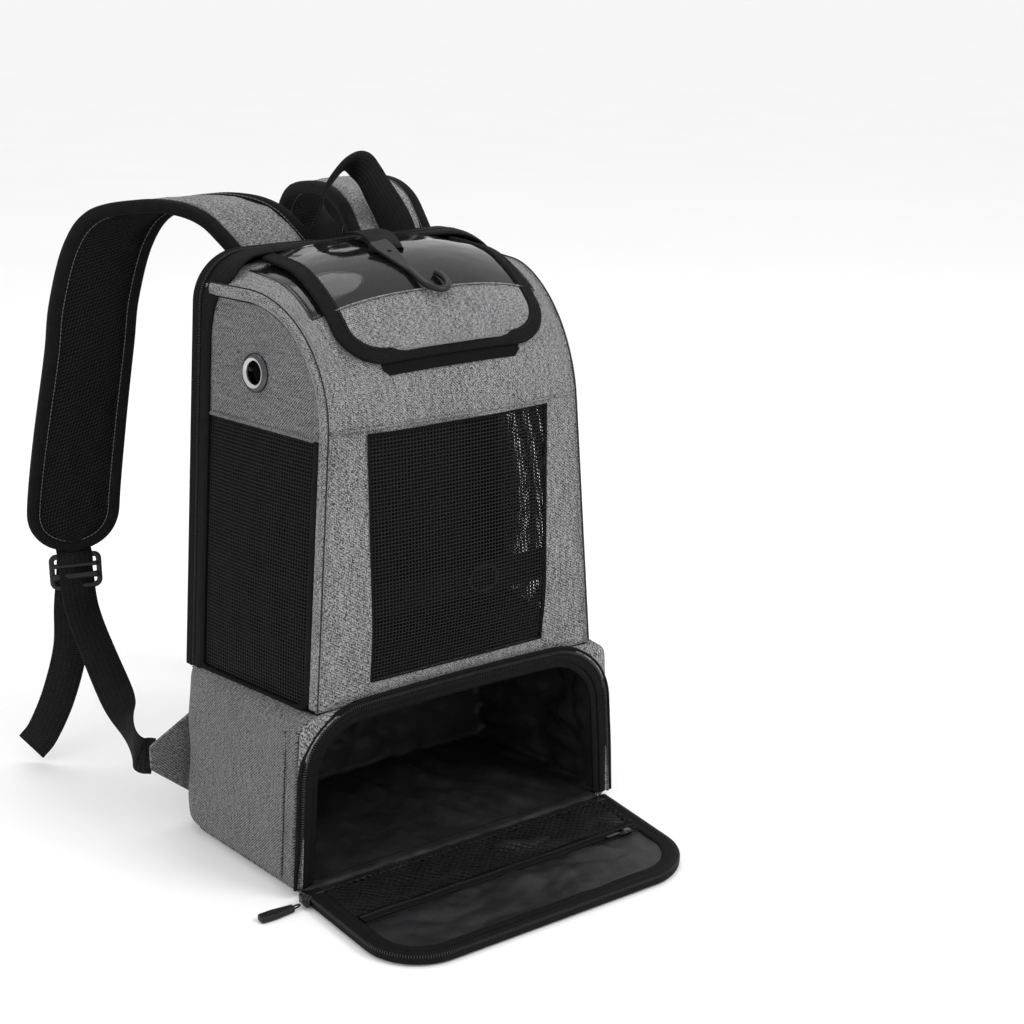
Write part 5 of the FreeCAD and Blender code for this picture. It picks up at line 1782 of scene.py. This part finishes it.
def build_stage(s):
    scene = bpy.context.scene
    azimuth, elevation, roll = (math.radians(v) for v in (-33.85, 17.75, -0.64))
    back = Vector((math.sin(azimuth) * math.cos(elevation), -math.cos(azimuth) * math.cos(elevation),
                   math.sin(elevation)))
    target = Vector((0.0314, 0.0, 0.2291))
    right = (-back).cross(Vector((0, 0, 1))).normalized()
    up = right.cross(-back)
    tilted = right * math.cos(roll) + up * math.sin(roll)
    up = up * math.cos(roll) - right * math.sin(roll)
    camera = bpy.data.cameras.new("Camera")
    camera.sensor_width = 36.0
    camera.lens = 63.64
    camera.shift_x, camera.shift_y = 0.0763, 0.0241
    scene.camera = link("Camera", camera)
    scene.camera.matrix_world = basis(tilted, up, back, target + back * 1.4442)

    floor = bpy.data.meshes.new("floor")
    wide = 40.0
    floor.from_pydata([(-wide, -wide, 0), (wide, -wide, 0), (wide, wide, 0), (-wide, wide, 0)], [],
                      [(0, 1, 2, 3)])
    plane = link("floor", floor)
    paint = Paint("Pale floor")
    soft = paint.noise(paint.place(), 3.0, 2.0)
    plane.data.materials.append(paint.set(
        Base_Color=paint.blend(soft, (0.90, 0.90, 0.90), (0.93, 0.93, 0.93)), Roughness=0.9))

    world = bpy.data.worlds.new("Studio")
    scene.world = world
    world.use_nodes = True
    sky = world.node_tree.nodes["Background"]
    sky.inputs["Color"].default_value = (1.0, 1.0, 1.0, 1.0)
    sky.inputs["Strength"].default_value = s.sky_strength
    for name, place, size, power in (
            ("Key", (0.9, -1.5, 1.9), 1.1, s.key_power),
            ("Fill", (-1.9, -0.8, 1.1), 1.4, s.key_power * 0.30),
            ("Top", (0.1, 0.6, 2.2), 1.2, s.key_power * 0.35)):
        lamp = bpy.data.lights.new(name, "AREA")
        lamp.shape = "DISK"
        lamp.size = size
        lamp.energy = power
        item = link(name, lamp)
        item.location = place
        item.visible_glossy = name != "Fill"
        aim = Vector((0, 0, 0.25)) - Vector(place)
        item.rotation_euler = aim.to_track_quat("-Z", "Y").to_euler()
    scene.view_settings.view_transform = "Standard"


# ------------------------------------------------------------------ add-on

class PackSettings(bpy.types.PropertyGroup):
    net_pitch: bpy.props.FloatProperty(name="Net pitch", description="Spacing of the net's strands",
                                       default=0.0028, min=0.0015, subtype="DISTANCE", unit="LENGTH")
    net_strand: bpy.props.FloatProperty(name="Net strand", description="Radius of the net's strands",
                                        default=0.00055, subtype="DISTANCE", unit="LENGTH")
    tooth_pitch: bpy.props.FloatProperty(name="Coil pitch", description="Spacing of the zips' coils",
                                         default=0.0017, subtype="DISTANCE", unit="LENGTH")
    heather_dark: bpy.props.FloatVectorProperty(name="Heather dark", description="Dark yarn",
                                                default=(0.019, 0.019, 0.020), subtype="COLOR")
    heather_light: bpy.props.FloatVectorProperty(name="Heather light", description="Light yarn",
                                                 default=(0.325, 0.325, 0.330), subtype="COLOR")
    black_tone: bpy.props.FloatVectorProperty(name="Black", description="Black cloth and plastic",
                                              default=(0.0058, 0.0058, 0.0063), subtype="COLOR")
    film_clear: bpy.props.FloatProperty(name="Film clearness", description="Share of light let through",
                                        default=0.30, min=0.0, max=1.0, subtype="FACTOR")
    sky_strength: bpy.props.FloatProperty(name="Sky", description="Brightness of the studio",
                                          default=1.0, min=0.0)
    key_power: bpy.props.FloatProperty(name="Key light", description="Power of the main light",
                                       default=22.0, min=0.0, unit="POWER")


class PACK_OT_body(bpy.types.Operator):
    """Front band, padded sides, side nets, seams and eyelets"""
    bl_idname = "pack.body"
    bl_label = "Upper body"

    def execute(self, context):
        settings = context.scene.pack_settings
        make_paints(settings)
        build_front()
        build_sides(settings)
        return {"FINISHED"}


class PACK_OT_net(bpy.types.Operator):
    """Front net and the strap behind it"""
    bl_idname = "pack.net"
    bl_label = "Front net"

    def execute(self, context):
        build_net_front(context.scene.pack_settings)
        return {"FINISHED"}


class PACK_OT_main_zip(bpy.types.Operator):
    """Tapes and coil of the main zip"""
    bl_idname = "pack.main_zip"
    bl_label = "Main zip"

    def execute(self, context):
        build_main_zip(context.scene.pack_settings)
        return {"FINISHED"}


class PACK_OT_base(bpy.types.Operator):
    """Base walls, zip track, lining and corner tabs"""
    bl_idname = "pack.base"
    bl_label = "Base"

    def execute(self, context):
        build_base(context.scene.pack_settings)
        return {"FINISHED"}


class PACK_OT_door(bpy.types.Operator):
    """Padded door with its pocket and zips"""
    bl_idname = "pack.door"
    bl_label = "Base door"

    def execute(self, context):
        build_door(context.scene.pack_settings)
        return {"FINISHED"}


class PACK_OT_flap(bpy.types.Operator):
    """Flap with its window, binding and touch fastener"""
    bl_idname = "pack.flap"
    bl_label = "Top flap"

    def execute(self, context):
        build_flap()
        return {"FINISHED"}


class PACK_OT_hook(bpy.types.Operator):
    """Hook on its strap"""
    bl_idname = "pack.hook"
    bl_label = "Hook"

    def execute(self, context):
        build_hook()
        return {"FINISHED"}


class PACK_OT_back(bpy.types.Operator):
    """Back panel, cushions and anchor band"""
    bl_idname = "pack.back"
    bl_label = "Back panel"

    def execute(self, context):
        build_back()
        return {"FINISHED"}


class PACK_OT_handle(bpy.types.Operator):
    """Carrying handle"""
    bl_idname = "pack.handle"
    bl_label = "Handle"

    def execute(self, context):
        build_handle()
        return {"FINISHED"}


class PACK_OT_straps(bpy.types.Operator):
    """Pads, buckles and webbing"""
    bl_idname = "pack.straps"
    bl_label = "Shoulder straps"

    def execute(self, context):
        build_straps()
        return {"FINISHED"}


class PACK_OT_sliders(bpy.types.Operator):
    """Zip sliders and their pulls"""
    bl_idname = "pack.sliders"
    bl_label = "Sliders"

    def execute(self, context):
        build_sliders()
        return {"FINISHED"}


class PACK_OT_stage(bpy.types.Operator):
    """Floor, lights and camera"""
    bl_idname = "pack.stage"
    bl_label = "Stage"

    def execute(self, context):
        build_stage(context.scene.pack_settings)
        return {"FINISHED"}


STEPS = (PACK_OT_body, PACK_OT_net, PACK_OT_main_zip, PACK_OT_base, PACK_OT_door, PACK_OT_flap,
         PACK_OT_hook, PACK_OT_back, PACK_OT_handle, PACK_OT_straps, PACK_OT_sliders,
         PACK_OT_stage)


class PACK_PT_panel(bpy.types.Panel):
    """Lists the steps and the settings."""
    bl_label = "Backpack"
    bl_idname = "PACK_PT_panel"
    bl_space_type = "VIEW_3D"
    bl_region_type = "UI"
    bl_category = "Backpack"

    def draw(self, context):
        settings = context.scene.pack_settings
        for key in PackSettings.__annotations__:
            self.layout.prop(settings, key)
        for item in STEPS:
            self.layout.operator(item.bl_idname)


def register():
    for item in (PackSettings, *STEPS, PACK_PT_panel):
        bpy.utils.register_class(item)
    bpy.types.Scene.pack_settings = bpy.props.PointerProperty(type=PackSettings)


def unregister():
    del bpy.types.Scene.pack_settings
    for item in (PACK_PT_panel, *reversed(STEPS), PackSettings):
        bpy.utils.unregister_class(item)


def main():
    register()
    for item in STEPS:
        getattr(bpy.ops.pack, item.bl_idname.split(".")[1])()


if __name__ == "__main__":
    main()
